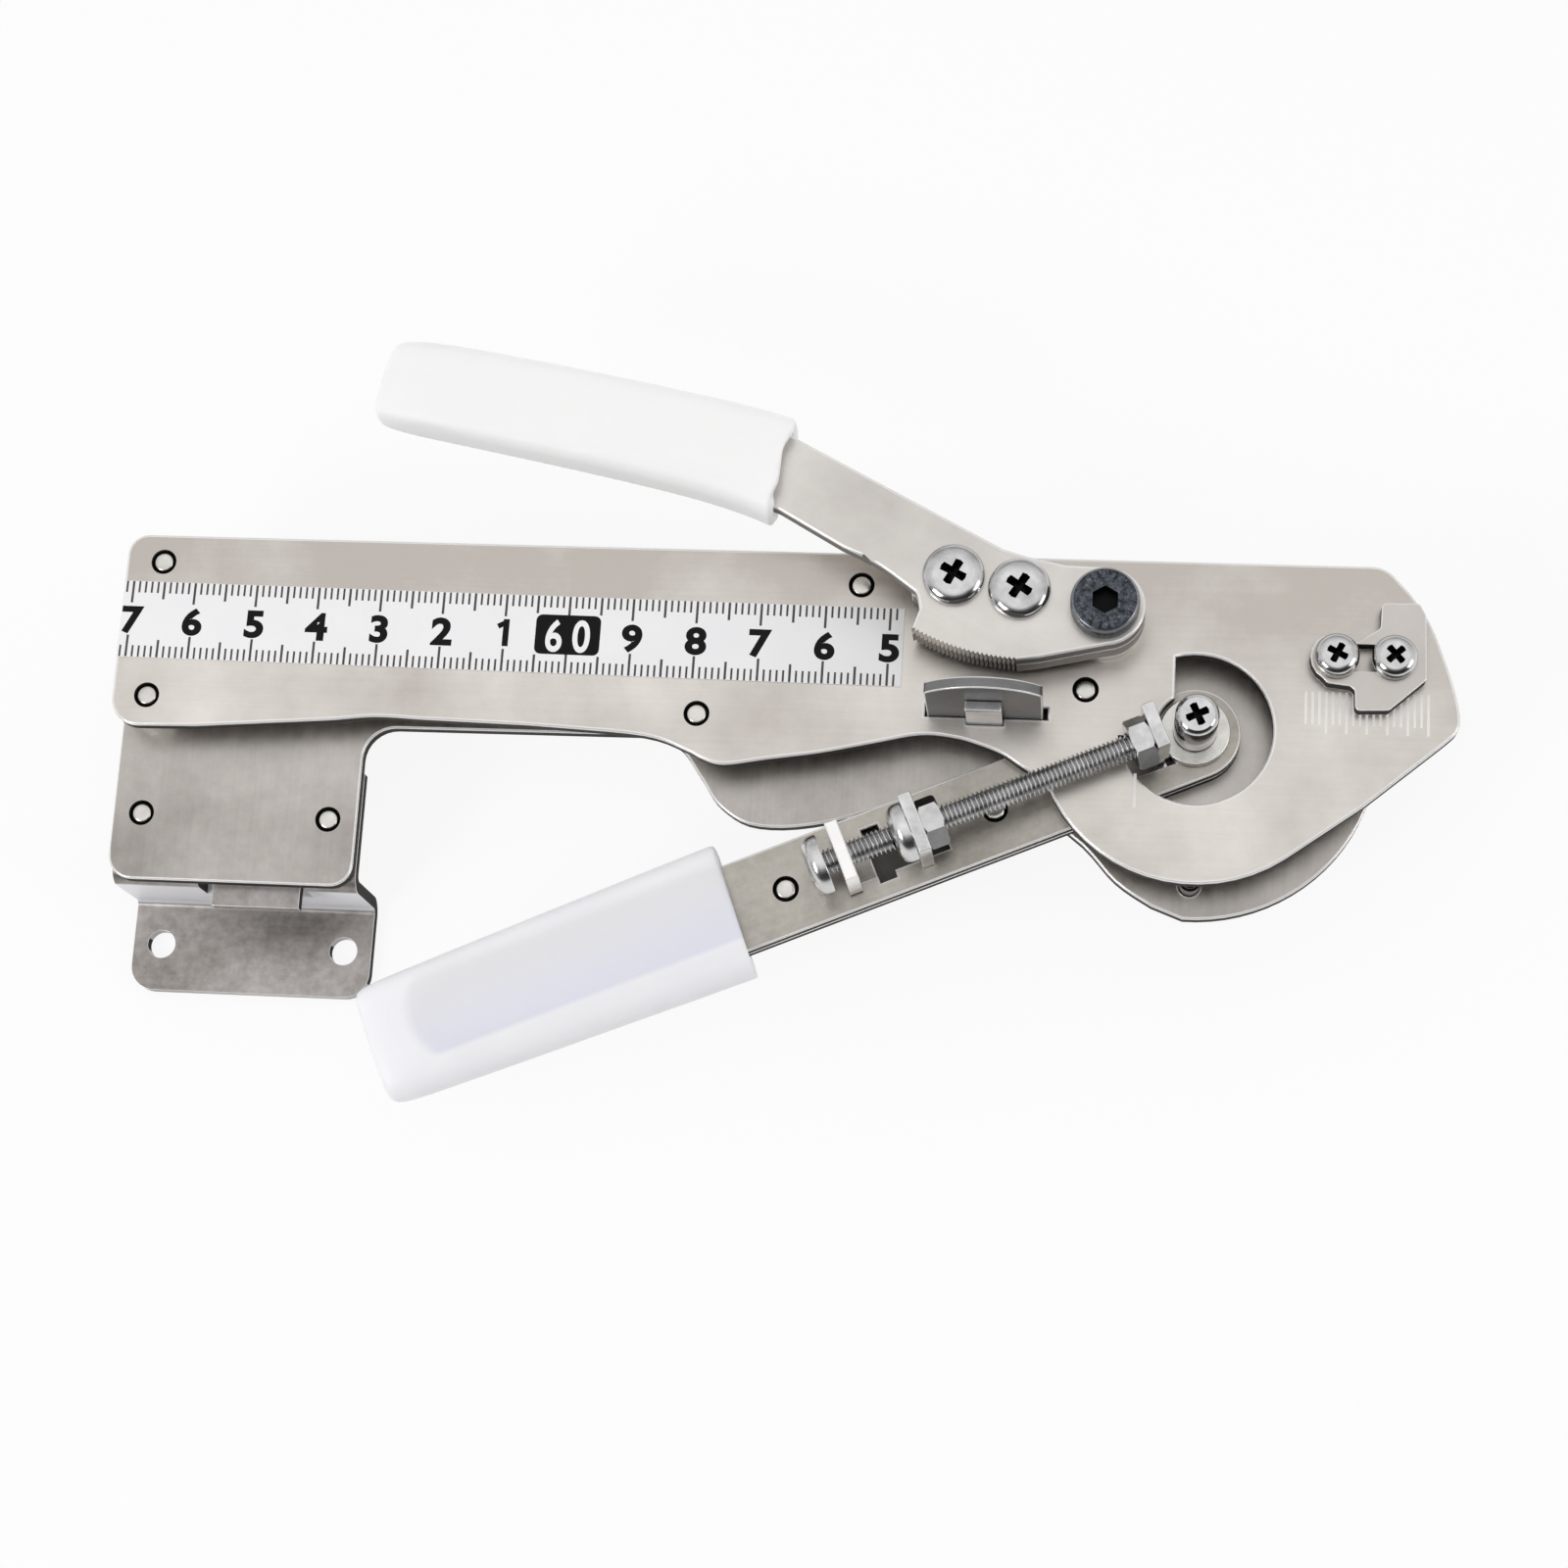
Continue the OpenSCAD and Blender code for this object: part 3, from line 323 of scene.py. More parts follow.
# %% Plated finishes
def plated_steel(name, light, dark, dull):
    paint = paint_box(name)
    place = paint.mm()
    patchy = paint.noise(place, 0.3, 3.0, 0.6)
    grit = paint.noise(place, 6.0, 3.0, 0.6)
    ring = paint.noise(paint.scaled(place, (0.6, 0.6, 9.0)), 1.0, 2.0, 0.5)
    tone = (0.6 + (patchy - 0.5) * 1.6 + (ring - 0.5) * 0.5).clamped()
    # Painted highlight on the rounded edges; painted shade, nearly black, on the marked
    # recesses, grooves and facets.
    grime = paint.mark("grime")
    bright = paint.mix(paint.mark("edge") * 0.5, paint.mix(tone, dark, light),
                       seen(0.97, 0.97, 0.97))
    colour = paint.mix(grime, bright, seen(0.09, 0.085, 0.08))
    roughness = dull + (patchy - 0.5) * 0.12 + (grit - 0.5) * 0.04 + grime * 0.35
    return finish(colour, roughness, grit * 0.7 + ring * 0.5, 0.0015, {"Metallic": 1.0})


zinc = plated_steel("bright_zinc", seen(0.86, 0.86, 0.86), seen(0.64, 0.64, 0.64), 0.15)
pin_steel = plated_steel("drawn_pin_steel", seen(0.56, 0.55, 0.54), seen(0.34, 0.33, 0.32), 0.2)
turned_steel = plated_steel("turned_rivet_steel", seen(0.87, 0.86, 0.84),
                            seen(0.72, 0.71, 0.69), 0.26)
thread_zinc = plated_steel("thread_zinc", seen(0.88, 0.88, 0.88), seen(0.70, 0.70, 0.70), 0.24)


def black_oxide(name, centre):
    paint = paint_box(name)
    place = paint.mm()
    rel = paint.node("ShaderNodeVectorMath", {"operation": "SUBTRACT"}, {0: place, 1: centre})
    east, north = paint.part(rel, "X"), paint.part(rel, "Y")
    bearing = paint.node("ShaderNodeMath", {"operation": "ARCTAN2"}, {0: north, 1: east})
    spoke = paint.noise(paint.node("ShaderNodeCombineXYZ", {}, {0: bearing * 9.0}),
                        1.0, 2.0, 0.6)
    grain = paint.noise(rel, 1.3, 5.0, 0.75)
    fleck = paint.steps(paint.noise(rel, 2.2, 3.0, 0.7), 0.58, 0.70)
    ring = paint.noise(paint.scaled(place, (1.2, 1.2, 6.0)), 1.0, 3.0, 0.6)
    # The rim is painted lighter, partly as wear and partly as a highlight, and the recess
    # nearly black as painted shade.
    rim = paint.mark("edge")
    tone = paint.steps(grain + (spoke - 0.5) * 0.4, 0.3, 0.7)
    skin = paint.mix(tone, seen(0.10, 0.11, 0.13), seen(0.36, 0.38, 0.41))
    worn = paint.mix((fleck * 0.25 + rim * 0.35).clamped(), skin, seen(0.80, 0.81, 0.83))
    worn = paint.mix(paint.mark("grime"), worn, seen(0.03, 0.03, 0.03))
    return finish(worn, 0.34 + (grain - 0.5) * 0.3, grain + ring * 0.5, 0.02,
                  {"Metallic": 0.85})


oxide = black_oxide("black_oxide_skin", tuple(LEVER_AXIS))

# %% [markdown]
# ## Print and plastic
#
# The tape is lacquered white steel, and its ink is matt black. The sleeves are soft milky
# vinyl: light goes in, spreads and comes back out, and what lies inside shows through as a
# darker shape. A steady Alpha under 1 lets the inside show, Subsurface spreads the light, and
# a faint glow stands for the light that comes up through the sleeve from the white table. The
# arm's sleeve has the thicker wall, so its handle is a soft patch of colour, painted by its
# place along the arm.

# %% Print and plastic finishes
def lacquer(name, light, dark, dull=0.35, gloss=0.5):
    paint = paint_box(name)
    place = paint.mm()
    wave = paint.noise(place, 0.12, 2.0, 0.5)
    dust = paint.noise(place, 3.0, 3.0, 0.6)
    colour = paint.mix((wave * 0.7 + dust * 0.3).clamped(), dark, light)
    return finish(colour, dull + (wave - 0.5) * 0.15, dust, 0.003,
                  {"Metallic": 0.0, "Specular IOR Level": gloss})


# The painted handle, off the arm's middle line: where its bowed tip and its two sides fade
HANDLE_SHIFT, TIP_BOW = 0.9, 0.06
HANDLE_TIP, HANDLE_NEAR, HANDLE_FAR = (125.6, 128.2), (-7.6, -5.0), (5.7, 6.8)


def vinyl(name, light, dark, clear, glow, handle=None):
    paint = paint_box(name)
    place = paint.mm()
    cloud = paint.noise(place, 0.07, 3.0, 0.5)
    pimple = paint.noise(place, 1.6, 3.0, 0.6)
    colour = paint.mix((cloud * 0.8 + pimple * 0.2).clamped(), dark, light)
    if handle:
        along = paint.turned(place, ARM_ANGLE, HUB)
        out, aside = paint.part(along, "X") - HUB[0], paint.part(along, "Y") - HUB[1]
        off = aside + HANDLE_SHIFT
        shape = ((1 - paint.steps(out + off * off * TIP_BOW, *HANDLE_TIP))
                 * paint.steps(off, *HANDLE_NEAR) * (1 - paint.steps(off, *HANDLE_FAR)))
        lit = paint.steps(off, -7.0, 7.0)
        colour = paint.mix(shape, colour, paint.mix(lit, seen(0.905, 0.905, 0.91), handle))
    return finish(colour, 0.42 + (pimple - 0.5) * 0.2, pimple * 0.6 + cloud, 0.05,
                  {"Metallic": 0.0, "Alpha": clear, "Subsurface Weight": 0.35,
                   "Emission Color": (1, 1, 1, 1), "Emission Strength": glow,
                   "Subsurface Radius": (0.003, 0.003, 0.0035), "Subsurface Scale": 1.0,
                   "IOR": 1.45})


tape_white = lacquer("tape_lacquer", seen(0.97, 0.97, 0.97), seen(0.93, 0.93, 0.94))
ink_black = lacquer("tape_ink", seen(0.07, 0.065, 0.06), seen(0.03, 0.03, 0.03), 0.6, 0.15)
ink_grey = lacquer("tick_ink", seen(0.36, 0.34, 0.33), seen(0.26, 0.25, 0.24), 0.6, 0.15)
paint_white = lacquer("scale_paint", seen(0.96, 0.95, 0.94), seen(0.90, 0.89, 0.88), 0.45)
arm_vinyl = vinyl("milky_arm_vinyl", seen(0.975, 0.975, 0.98), seen(0.93, 0.93, 0.965), 0.92,
                  0.05, handle=seen(0.885, 0.885, 0.935))
lever_vinyl = vinyl("milky_lever_vinyl", seen(0.975, 0.975, 0.97), seen(0.95, 0.95, 0.965), 0.9,
                    0.11)

# %% [markdown]
# ## Putting a piece in the model
#
# Every finished piece needs the same last steps: a mesh object at the origin, a material,
# smooth shading that stops at real corners, a body to ride on, and the plain solid that it
# stands for hidden. One helper does them all.

# %% The last steps of every piece
def add_piece(name, bm, coat, body, slot, *replaced, corner=40, even=False):
    """Turns a bmesh in millimetres into a finished piece of the model."""
    bmesh.ops.transform(bm, matrix=TO_METRES, verts=bm.verts)
    mesh = bpy.data.meshes.new(name)
    bm.to_mesh(mesh)
    bm.free()
    mesh.materials.append(coat)
    mesh.shade_smooth()
    mesh.set_sharp_from_angle(angle=math.radians(corner))
    piece = bpy.data.objects.new(name, mesh)
    bpy.context.scene.collection.objects.link(piece)
    if even:
        weigh = piece.modifiers.new("even_shading", "WEIGHTED_NORMAL")
        weigh.keep_sharp = True
    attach(piece, body)
    if replaced:
        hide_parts(*replaced)
    print("piece:", name, len(mesh.polygons), "faces, on", body)
    return piece


print("scale from millimetres:", MM)

# %% [markdown]
# ## Small tools for meshes
#
# Most fittings are a few simple bodies together: a head and its thread, a row of thin bars, a
# shape moved to its place. A face can also carry a mark, a number from 0 to 1 that a finish
# reads, so that paint follows the shape of the metal.

# %% Helpers that join, move and make small bars
def joined(*parts):
    """Puts several bmeshes into the first one."""
    first = parts[0]
    for other in parts[1:]:
        mesh = bpy.data.meshes.new("carry")
        other.to_mesh(mesh)
        other.free()
        first.from_mesh(mesh)
        bpy.data.meshes.remove(mesh)
    return first


def moved(bm, matrix):
    bmesh.ops.transform(bm, matrix=matrix, verts=bm.verts)
    return bm


def bar(bm, x0, x1, y0, y1, z0, z1):
    size = Matrix.Diagonal((x1 - x0, y1 - y0, z1 - z0, 1))
    middle = Matrix.Translation(((x0 + x1) / 2, (y0 + y1) / 2, (z0 + z1) / 2))
    bmesh.ops.create_cube(bm, size=1.0, matrix=middle @ size)


def mark_faces(bm, name, test, strength=1.0):
    """Marks the faces for which the test is true, for the finishes to read."""
    layer = bm.faces.layers.float.get(name) or bm.faces.layers.float.new(name)
    for face in bm.faces:
        if test(face):
            face[layer] = strength


print("mesh tools: joined, moved, bar, mark_faces")

# %% [markdown]
# ## Rounding the edges of the sheet parts
#
# A sheared and tumbled sheet has a small round along every edge, and that round is what
# catches the light as a bright line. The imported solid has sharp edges, so a copy of its mesh
# is merged, its flat faces are joined, and its sharp outward edges are bevelled. The new
# faces get the mark `edge`, which the finishes read. The cam teeth keep their sharp crests, and
# so do the rivet holes and what lies under a screw head. The large sheets are rounded along
# their flat rims only, because their upright corners are tighter than the round is wide.

# %% Which edges keep their corner
RIVET_SPOTS = [Vector(p) for p in PLATE_RIVETS + [STANDOFF] + BLOCK_RIVETS]
RIVET_SPOTS += [(ON_ARM @ Vector((x, y, 0))).to_2d() for x, y in ARM_RIVETS]
COVERED_SPOTS = [Vector(p[:2])
                 for p in (LEVER_AXIS, *STOP_SCREWS, *JAW_SCREWS, WINDOW_CORNER)]
HOLE_REACH, COVER_REACH = 2.2, 3.3
TEETH_FROM, TEETH_TO = 240.5, 268.5
WIDE_ROUNDS = ("front_plate", "rear_plate", "lever_plate", "arm_top_sheet")


def side_of_sheet(normal):
    return abs(normal.z) < 0.5


def on_teeth(place):
    """True for a place on the toothed arc of the lever and the jaw."""
    arm = (place - CAM_CENTRE).to_2d()
    angle = math.degrees(math.atan2(arm.y, arm.x)) % 360
    return CAM_R - 0.6 < arm.length < CAM_R + 0.3 and TEETH_FROM < angle < TEETH_TO


def stays_sharp(edge, wide):
    """True on the cam teeth and in rivet holes; with a wide round, also where the edge is
    upright or covered by a screw head or nut."""
    middle = (edge.verts[0].co + edge.verts[1].co) / 2
    upright = abs(edge.verts[0].co.z - edge.verts[1].co.z) > 0.01
    in_hole = any((middle.to_2d() - spot).length < HOLE_REACH for spot in RIVET_SPOTS)
    covered = any((middle.to_2d() - spot).length < COVER_REACH for spot in COVERED_SPOTS)
    return in_hole or on_teeth(middle) or (wide and (upright or covered))


print("wide rounds:", *WIDE_ROUNDS)

# %% A rounded copy of a sheet part
ROUND_STEPS = 3


def eased(node, radius, sheared):
    """A copy of a node's mesh in millimetres, with its outward edges rounded."""
    bm = bmesh.new()
    bm.from_mesh(frame["nodes"][node].data)
    bmesh.ops.transform(bm, matrix=Matrix.Scale(1 / MM, 4), verts=bm.verts)
    bmesh.ops.remove_doubles(bm, verts=bm.verts, dist=0.002)
    bmesh.ops.dissolve_limit(bm, angle_limit=math.radians(0.6), verts=bm.verts,
                             edges=bm.edges)
    bm.normal_update()
    mark_faces(bm, "cut", lambda face: sheared and sheared(face.normal))
    mark = bm.faces.layers.float.new("edge")
    cut = bm.faces.layers.float.get("cut")
    corner = math.radians(50)
    rim = [e for e in bm.edges
           if len(e.link_faces) == 2 and e.is_convex and e.calc_face_angle(0) > corner
           and not stays_sharp(e, node in WIDE_ROUNDS)]
    made = bmesh.ops.bevel(bm, geom=rim, offset=radius, offset_type="OFFSET",
                           segments=ROUND_STEPS, profile=0.5, affect="EDGES", material=-1,
                           clamp_overlap=node not in WIDE_ROUNDS, loop_slide=True)
    for face in made["faces"]:
        face[mark], face[cut] = 1.0, 0.0
    # On the cam teeth the flanks that face one way get the dark cut colour as painted shade,
    # and the others stay bright, so the teeth show as stripes.
    for face in bm.faces:
        middle = face.calc_center_median()
        if side_of_sheet(face.normal) and on_teeth(middle):
            spoke = middle - CAM_CENTRE
            face[cut] = 1.0 if spoke.x * face.normal.y < spoke.y * face.normal.x else 0.0
    return bm


def end_of_bracket(normal):
    return abs(normal.x) > 0.9


def pocket_floor():
    """The thin skin that closes the sliding lug's pocket from below, painted dark as the shade
    inside the pocket.
    """
    bm = bmesh.new()
    bar(bm, 40.6, 53.1, -5.2, 5.2, Z_ARM + 0.01, Z_ARM + 0.08)
    mark_faces(bm, "cut", lambda face: True, 0.7)
    return bm


print("rounds have", ROUND_STEPS, "steps")

# %% Sheet parts, lugs, nuts and washers with eased edges
# Node, radius of the round, finish, slot, and the test for a sheared side
SHEETS = [
    ("front_plate", 0.42, plate_steel, "satin_steel", side_of_sheet),
    ("rear_plate", 0.35, rear_steel, "satin_steel", side_of_sheet),
    ("mount_bracket", 0.25, bracket_steel, "bracket_steel", end_of_bracket),
    ("lever_plate", 0.42, lever_steel, "satin_steel", side_of_sheet),
    ("grip_jaw", 0.25, jaw_steel, "satin_steel", None),
    ("arm_top_sheet", 0.3, arm_steel, "satin_steel", side_of_sheet),
    ("arm_bottom_sheet", 0.3, arm_steel, "satin_steel", side_of_sheet),
    ("end_stop", 0.38, stop_steel, "satin_steel", side_of_sheet),
    ("anvil_plate", 0.22, anvil_steel, "anvil_steel", None),
    ("anvil_post", 0.18, zinc, "zinc_steel", None),
    ("slide_lug", 0.22, zinc, "zinc_steel", None),
    ("bending_finger", 0.22, zinc, "zinc_steel", None),
    ("lug_lock_nut", 0.1, zinc, "zinc_steel", None),
    ("finger_lock_nut", 0.1, zinc, "zinc_steel", None),
    ("pivot_bush", 0.16, turned_steel, "turned_steel", None),
    ("lever_washer", 0.2, turned_steel, "turned_steel", None),
]
LOCK_NUTS = ("lug_lock_nut", "finger_lock_nut")
ARM_SIDE = ON_ARM.to_3x3() @ Vector((0, 1, 0))
for node, radius, metal, slot, sheared in SHEETS:
    shape = eased(node, radius, sheared)
    if node == "arm_bottom_sheet":
        joined(shape, moved(pocket_floor(), ON_ARM))
    # The nut facets that face the arm's side are painted darker as shade.
    if node in LOCK_NUTS:
        shape.normal_update()
        mark_faces(shape, "grime", lambda face: face.normal.dot(ARM_SIDE) > 0.55, 0.6)
    add_piece(node + "_finish", shape, metal, body_of(frame["nodes"][node])[0], slot, node,
              even=True)

# %% [markdown]
# ## Turned shapes, threads and cross recesses
#
# A screw is turned, so it is modelled by spinning half of its outline round an axis. Its
# thread is a short zigzag spun along a helix: the spin operator takes a step along the axis
# for each step round it. Two flat cuts give the thread clean ends. The cross recess is a
# tapered star that a Boolean takes out of the head, as the punch does on the real one.

# %% Turning and threading
# Radius over the crests and pitch of each thread
M3, M4, M5, M6 = (1.49, 0.5), (1.99, 0.7), (2.49, 0.8), (2.99, 1.0)


def turn(outline, steps=48):
    """Spins a half outline of (radius, height) points round Z into a closed shape."""
    bm = bmesh.new()
    verts = [bm.verts.new((r, 0, z)) for r, z in outline]
    edges = [bm.edges.new(pair) for pair in zip(verts, verts[1:])]
    bmesh.ops.spin(bm, geom=verts + edges, cent=(0, 0, 0), axis=(0, 0, 1),
                   angle=2 * math.pi, steps=steps, use_merge=True, use_duplicate=False)
    bmesh.ops.remove_doubles(bm, verts=bm.verts, dist=0.0005)
    bmesh.ops.recalc_face_normals(bm, faces=bm.faces)
    return bm


def cut_thread(crest, pitch, low, high, steps=20):
    """A helical thread round Z, from one height to another, with flat ends."""
    root = crest - 0.6 * pitch
    bm = bmesh.new()
    start = low - 1.5 * pitch
    verts = [bm.verts.new((r, 0, start + share * pitch))
             for r, share in ((root, 0.0), (root, 0.12), (crest, 0.46), (crest, 0.6),
                              (root, 0.94), (root, 1.0))]
    edges = [bm.edges.new(pair) for pair in zip(verts, verts[1:])]
    turns = math.ceil((high - low) / pitch) + 3
    bmesh.ops.spin(bm, geom=verts + edges, cent=(0, 0, 0), axis=(0, 0, 1),
                   dvec=(0, 0, pitch / steps), angle=2 * math.pi * turns,
                   steps=steps * turns, use_merge=False, use_duplicate=False)
    bmesh.ops.remove_doubles(bm, verts=bm.verts, dist=0.002)
    for height, side in ((low, -1), (high, 1)):
        cut = bmesh.ops.bisect_plane(bm, geom=bm.verts[:] + bm.edges[:] + bm.faces[:],
                                     plane_co=(0, 0, height), plane_no=(0, 0, side),
                                     clear_outer=True, clear_inner=False)
        rim = [e for e in cut["geom_cut"] if isinstance(e, bmesh.types.BMEdge)]
        bmesh.ops.edgeloop_fill(bm, edges=rim)
    bmesh.ops.recalc_face_normals(bm, faces=bm.faces)
    # The thread's roots are marked to be painted dark as shade.
    mark_faces(bm, "grime", lambda face: max(
        v.co.to_2d().length for v in face.verts) < root + 0.02 and abs(face.normal.z) < 0.5,
               0.55)
    return bm


print("thread pitches:", [pitch for _, pitch in (M3, M4, M5, M6)])

# %% Punching a cross recess
def recess_star(across, depth, top):
    """A tapered four-winged star whose mouth is just above the head's top."""
    bm = bmesh.new()
    ring = bmesh.ops.create_circle(bm, segments=16, radius=across / 2, cap_ends=True)["verts"]
    for vert in ring:
        angle = math.degrees(math.atan2(vert.co.y, vert.co.x)) % 90
        if 40 < angle < 50:
            vert.co *= 0.42
        elif 20 < angle < 70:
            wing = round(math.degrees(math.atan2(vert.co.y, vert.co.x)) / 90) * 90
            side = 0.16 * across * (1 if angle < 45 else -1)
            axis = Matrix.Rotation(math.radians(wing), 3, "Z")
            vert.co = axis @ Vector((0.46 * across, side, 0))
    moved(bm, Matrix.Translation((0, 0, top + 0.05)))
    low = bmesh.ops.extrude_face_region(bm, geom=bm.faces[:])["geom"]
    floor = [v for v in low if isinstance(v, bmesh.types.BMVert)]
    bmesh.ops.translate(bm, vec=(0, 0, -depth - 0.05), verts=floor)
    bmesh.ops.scale(bm, vec=(0.5, 0.5, 1), verts=floor)
    bmesh.ops.recalc_face_normals(bm, faces=bm.faces)
    return bm


def punched(body, tool):
    """Takes the tool out of the body with a Boolean and gives the result back."""
    objects = []
    for name, bm in (("punch_body", body), ("punch_tool", tool)):
        mesh = bpy.data.meshes.new(name)
        bm.to_mesh(mesh)
        bm.free()
        objects.append(bpy.data.objects.new(name, mesh))
        bpy.context.scene.collection.objects.link(objects[-1])
    cut = objects[0].modifiers.new("recess", "BOOLEAN")
    cut.operation, cut.solver, cut.object = "DIFFERENCE", "EXACT", objects[1]
    bpy.context.view_layer.update()
    shape = objects[0].evaluated_get(bpy.context.evaluated_depsgraph_get())
    result = bmesh.new()
    result.from_mesh(shape.to_mesh())
    shape.to_mesh_clear()
    for o in objects:
        mesh = o.data
        bpy.data.objects.remove(o)
        bpy.data.meshes.remove(mesh)
    return result


def mark_recess(bm, reach, low, high):
    """Marks the walls and floor of a recess round the axis, to be painted nearly black as
    shade.
    """
    def inside(face):
        middle = face.calc_center_median()
        return middle.to_2d().length < reach and low < middle.z < high
    mark_faces(bm, "grime", inside)


def pan_head(width, height, recess_turn, dome=0.5, recess=0.46):
    """A domed screw head seated at height 0, with its cross recess."""
    r = width / 2
    outline = [(0, 0), (r * 0.985, 0), (r, height * 0.04), (r, height * 0.3)]
    for i in range(1, 8):
        a = math.radians(90 * i / 7)
        outline.append((r * (1 - dome + dome * math.cos(a)),
                        height * (0.3 + 0.7 * math.sin(a) ** 0.9)))
    outline[-1] = (r * (1 - dome), height * 0.985)
    outline.append((0, height))
    star = recess_star(width * recess, height * 0.7, height)
    head = punched(turn(outline),
                   moved(star, Matrix.Rotation(math.radians(recess_turn), 4, "Z")))
    mark_recess(head, width * recess / 2, 0.05, height * 0.93)
    return head


print("punch tools: recess_star, punched, mark_recess, pan_head")

# %% [markdown]
# ## The screws
#
# Eight screws of six kinds hold the tool together. The long screw and the adjusting screw lie
# along the arm, so their threads are in full view; the lever, mandrel and stop screws show
# their heads in front and a turn or two of thread behind their nuts.

# %% Screws along the arm
PAN_D, PAN_T = 9.2, 2.76
SCREW_CORNER = 28


def along_arm(x):
    return ON_ARM @ Matrix.Translation((x, 0, Z_AXIS)) @ Matrix.Rotation(math.pi / 2, 4, "Y")


for name, body, seat, length, twist in (("long_screw", "carriage", 46.02, 40.68, 20),
                                        ("adjusting_screw", "adjuster", 59.55, 10.75, 50)):
    screw = joined(pan_head(PAN_D, PAN_T, twist), cut_thread(*M4, -length, 0.3))
    add_piece(name + "_threaded", moved(screw, along_arm(seat)), thread_zinc, body,
              "zinc_steel", name, corner=SCREW_CORNER)

# %% Screws through the jaw and the end stop
JAW_HEAD, JAW_LENGTH = (9.5, 2.3), 6.5
jaw = joined(*[moved(joined(pan_head(*JAW_HEAD, twist, dome=0.62),
                            cut_thread(*M5, -JAW_LENGTH, 0.2)),
                     Matrix.Translation((x, y, Z_TOP)))
               for x, y, twist in JAW_SCREWS])
add_piece("jaw_screws_punched", jaw, zinc, "lever", "zinc_steel", "jaw_screws",
          corner=SCREW_CORNER)

STOP_HEAD, STOP_LENGTH, STOP_SEAT = (6.8, 2.4), 7.35, 29.1
stop = joined(*[moved(joined(pan_head(*STOP_HEAD, twist, dome=0.55, recess=0.5),
                             cut_thread(*M3, -STOP_LENGTH, 0.2)),
                      Matrix.Translation((x, y, STOP_SEAT)))
                for x, y, twist in STOP_SCREWS])
add_piece("stop_screws_punched", stop, zinc, "frame", "zinc_steel", "stop_screws",
          corner=SCREW_CORNER)

# %% The mandrel screw
MANDREL_R, MANDREL_H = 3.3, 9.8
mandrel_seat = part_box("mandrel_screw")[1].z / MM - MANDREL_H
mandrel_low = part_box("mandrel_screw")[0].z / MM - mandrel_seat
barrel = turn([(0, 0), (3.1, 0), (3.1, 0.5), (MANDREL_R, 0.7), (MANDREL_R, 9.05),
               (3.22, 9.25), (2.85, 9.62), (2.6, MANDREL_H), (0, MANDREL_H)])
star = moved(recess_star(3.7, 1.7, MANDREL_H), Matrix.Rotation(math.radians(25), 4, "Z"))
barrel = punched(barrel, star)
mark_recess(barrel, 1.9, 0.05, MANDREL_H - 0.05)
mandrel = joined(barrel, cut_thread(*M4, mandrel_low, 0.2))
moved(mandrel, Matrix.Translation((PIVOT.x, PIVOT.y, mandrel_seat)))
add_piece("mandrel_screw_punched", mandrel, zinc, "frame", "zinc_steel", "mandrel_screw",
          corner=SCREW_CORNER)

# %% The lever screw
HEAD_R, HEAD_H, HEX_R = 5.2, 3.3, 2.2
cap = turn([(0, 0), (5.1, 0), (HEAD_R, 0.1), (HEAD_R, 2.45), (5.05, 2.85), (4.75, 3.12),
            (4.4, HEAD_H), (2.75, HEAD_H), (2.3, 3.1), (0, 3.1)], steps=64)
hexagon = bmesh.new()
bmesh.ops.create_cone(hexagon, cap_ends=True, segments=6, radius1=HEX_R, radius2=HEX_R,
                      depth=5.0, matrix=Matrix.Translation((0, 0, 3.7)))
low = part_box("lever_screw")[0].z / MM - Z_TOP
cap = punched(cap, hexagon)
mark_recess(cap, 2.25, 0.05, 3.0)
# The outer chamfer gets the edge mark, which the finish paints lighter, partly as wear and
# partly as a highlight.
mark_faces(cap, "edge", lambda face: (face.normal.z > 0.3
                                      and face.calc_center_median().to_2d().length > 4.8))
lever_bolt = joined(cap, cut_thread(*M6, low, 0.2, steps=24))
moved(lever_bolt, Matrix.Translation((LEVER_AXIS.x, LEVER_AXIS.y, Z_TOP)))
add_piece("lever_screw_capped", lever_bolt, oxide,
          body_of(frame["nodes"]["lever_screw"])[0], "black_oxide", "lever_screw",
          corner=SCREW_CORNER)

# %% [markdown]
# ## Flush rivets
#
# The plates and the arm are held by rivets that are set flush: the tail is upset inside the
# hole and leaves a pale button with a deep ring round it. Both ends are turned the same way,
# so one half outline, mirrored from end to end, gives the whole rivet.

# %% Rivets
SHANK_R, COLLAR_R, GROOVE = 1.99, 2.45, 0.8
RIVET_STEPS, RIVET_CORNER = 32, 35
INSET = 0.02


def rivet(bottom, top, collar=False):
    """A flush rivet on the Z axis, with a button and a deep ring at each end."""
    low, high = bottom + INSET, top - INSET
    end = [(0, 0.0), (0.9, 0.02), (1.3, 0.08), (1.45, 0.18), (1.52, 0.32), (1.54, 0.75),
           (1.92, 0.78), (SHANK_R, GROOVE)]
    outline = [(r, high - z) for r, z in end]
    if collar:
        outline += [(SHANK_R, Z_FRONT - 0.05), (COLLAR_R, Z_FRONT - 0.15),
                    (COLLAR_R, Z_GAP + 0.15), (SHANK_R, Z_GAP + 0.05)]
    outline += [(r, low + z) for r, z in reversed(end)]
    bm = turn(outline, RIVET_STEPS)

    # The deep ring's faces are marked to be painted nearly black as shade.
    def in_groove(face):
        middle = face.calc_center_median()
        return (middle.to_2d().length > 1.5
                and (middle.z > high - GROOVE or middle.z < low + GROOVE))
    mark_faces(bm, "grime", in_groove)
    return bm


def at(x, y):
    return Matrix.Translation((x, y, 0))


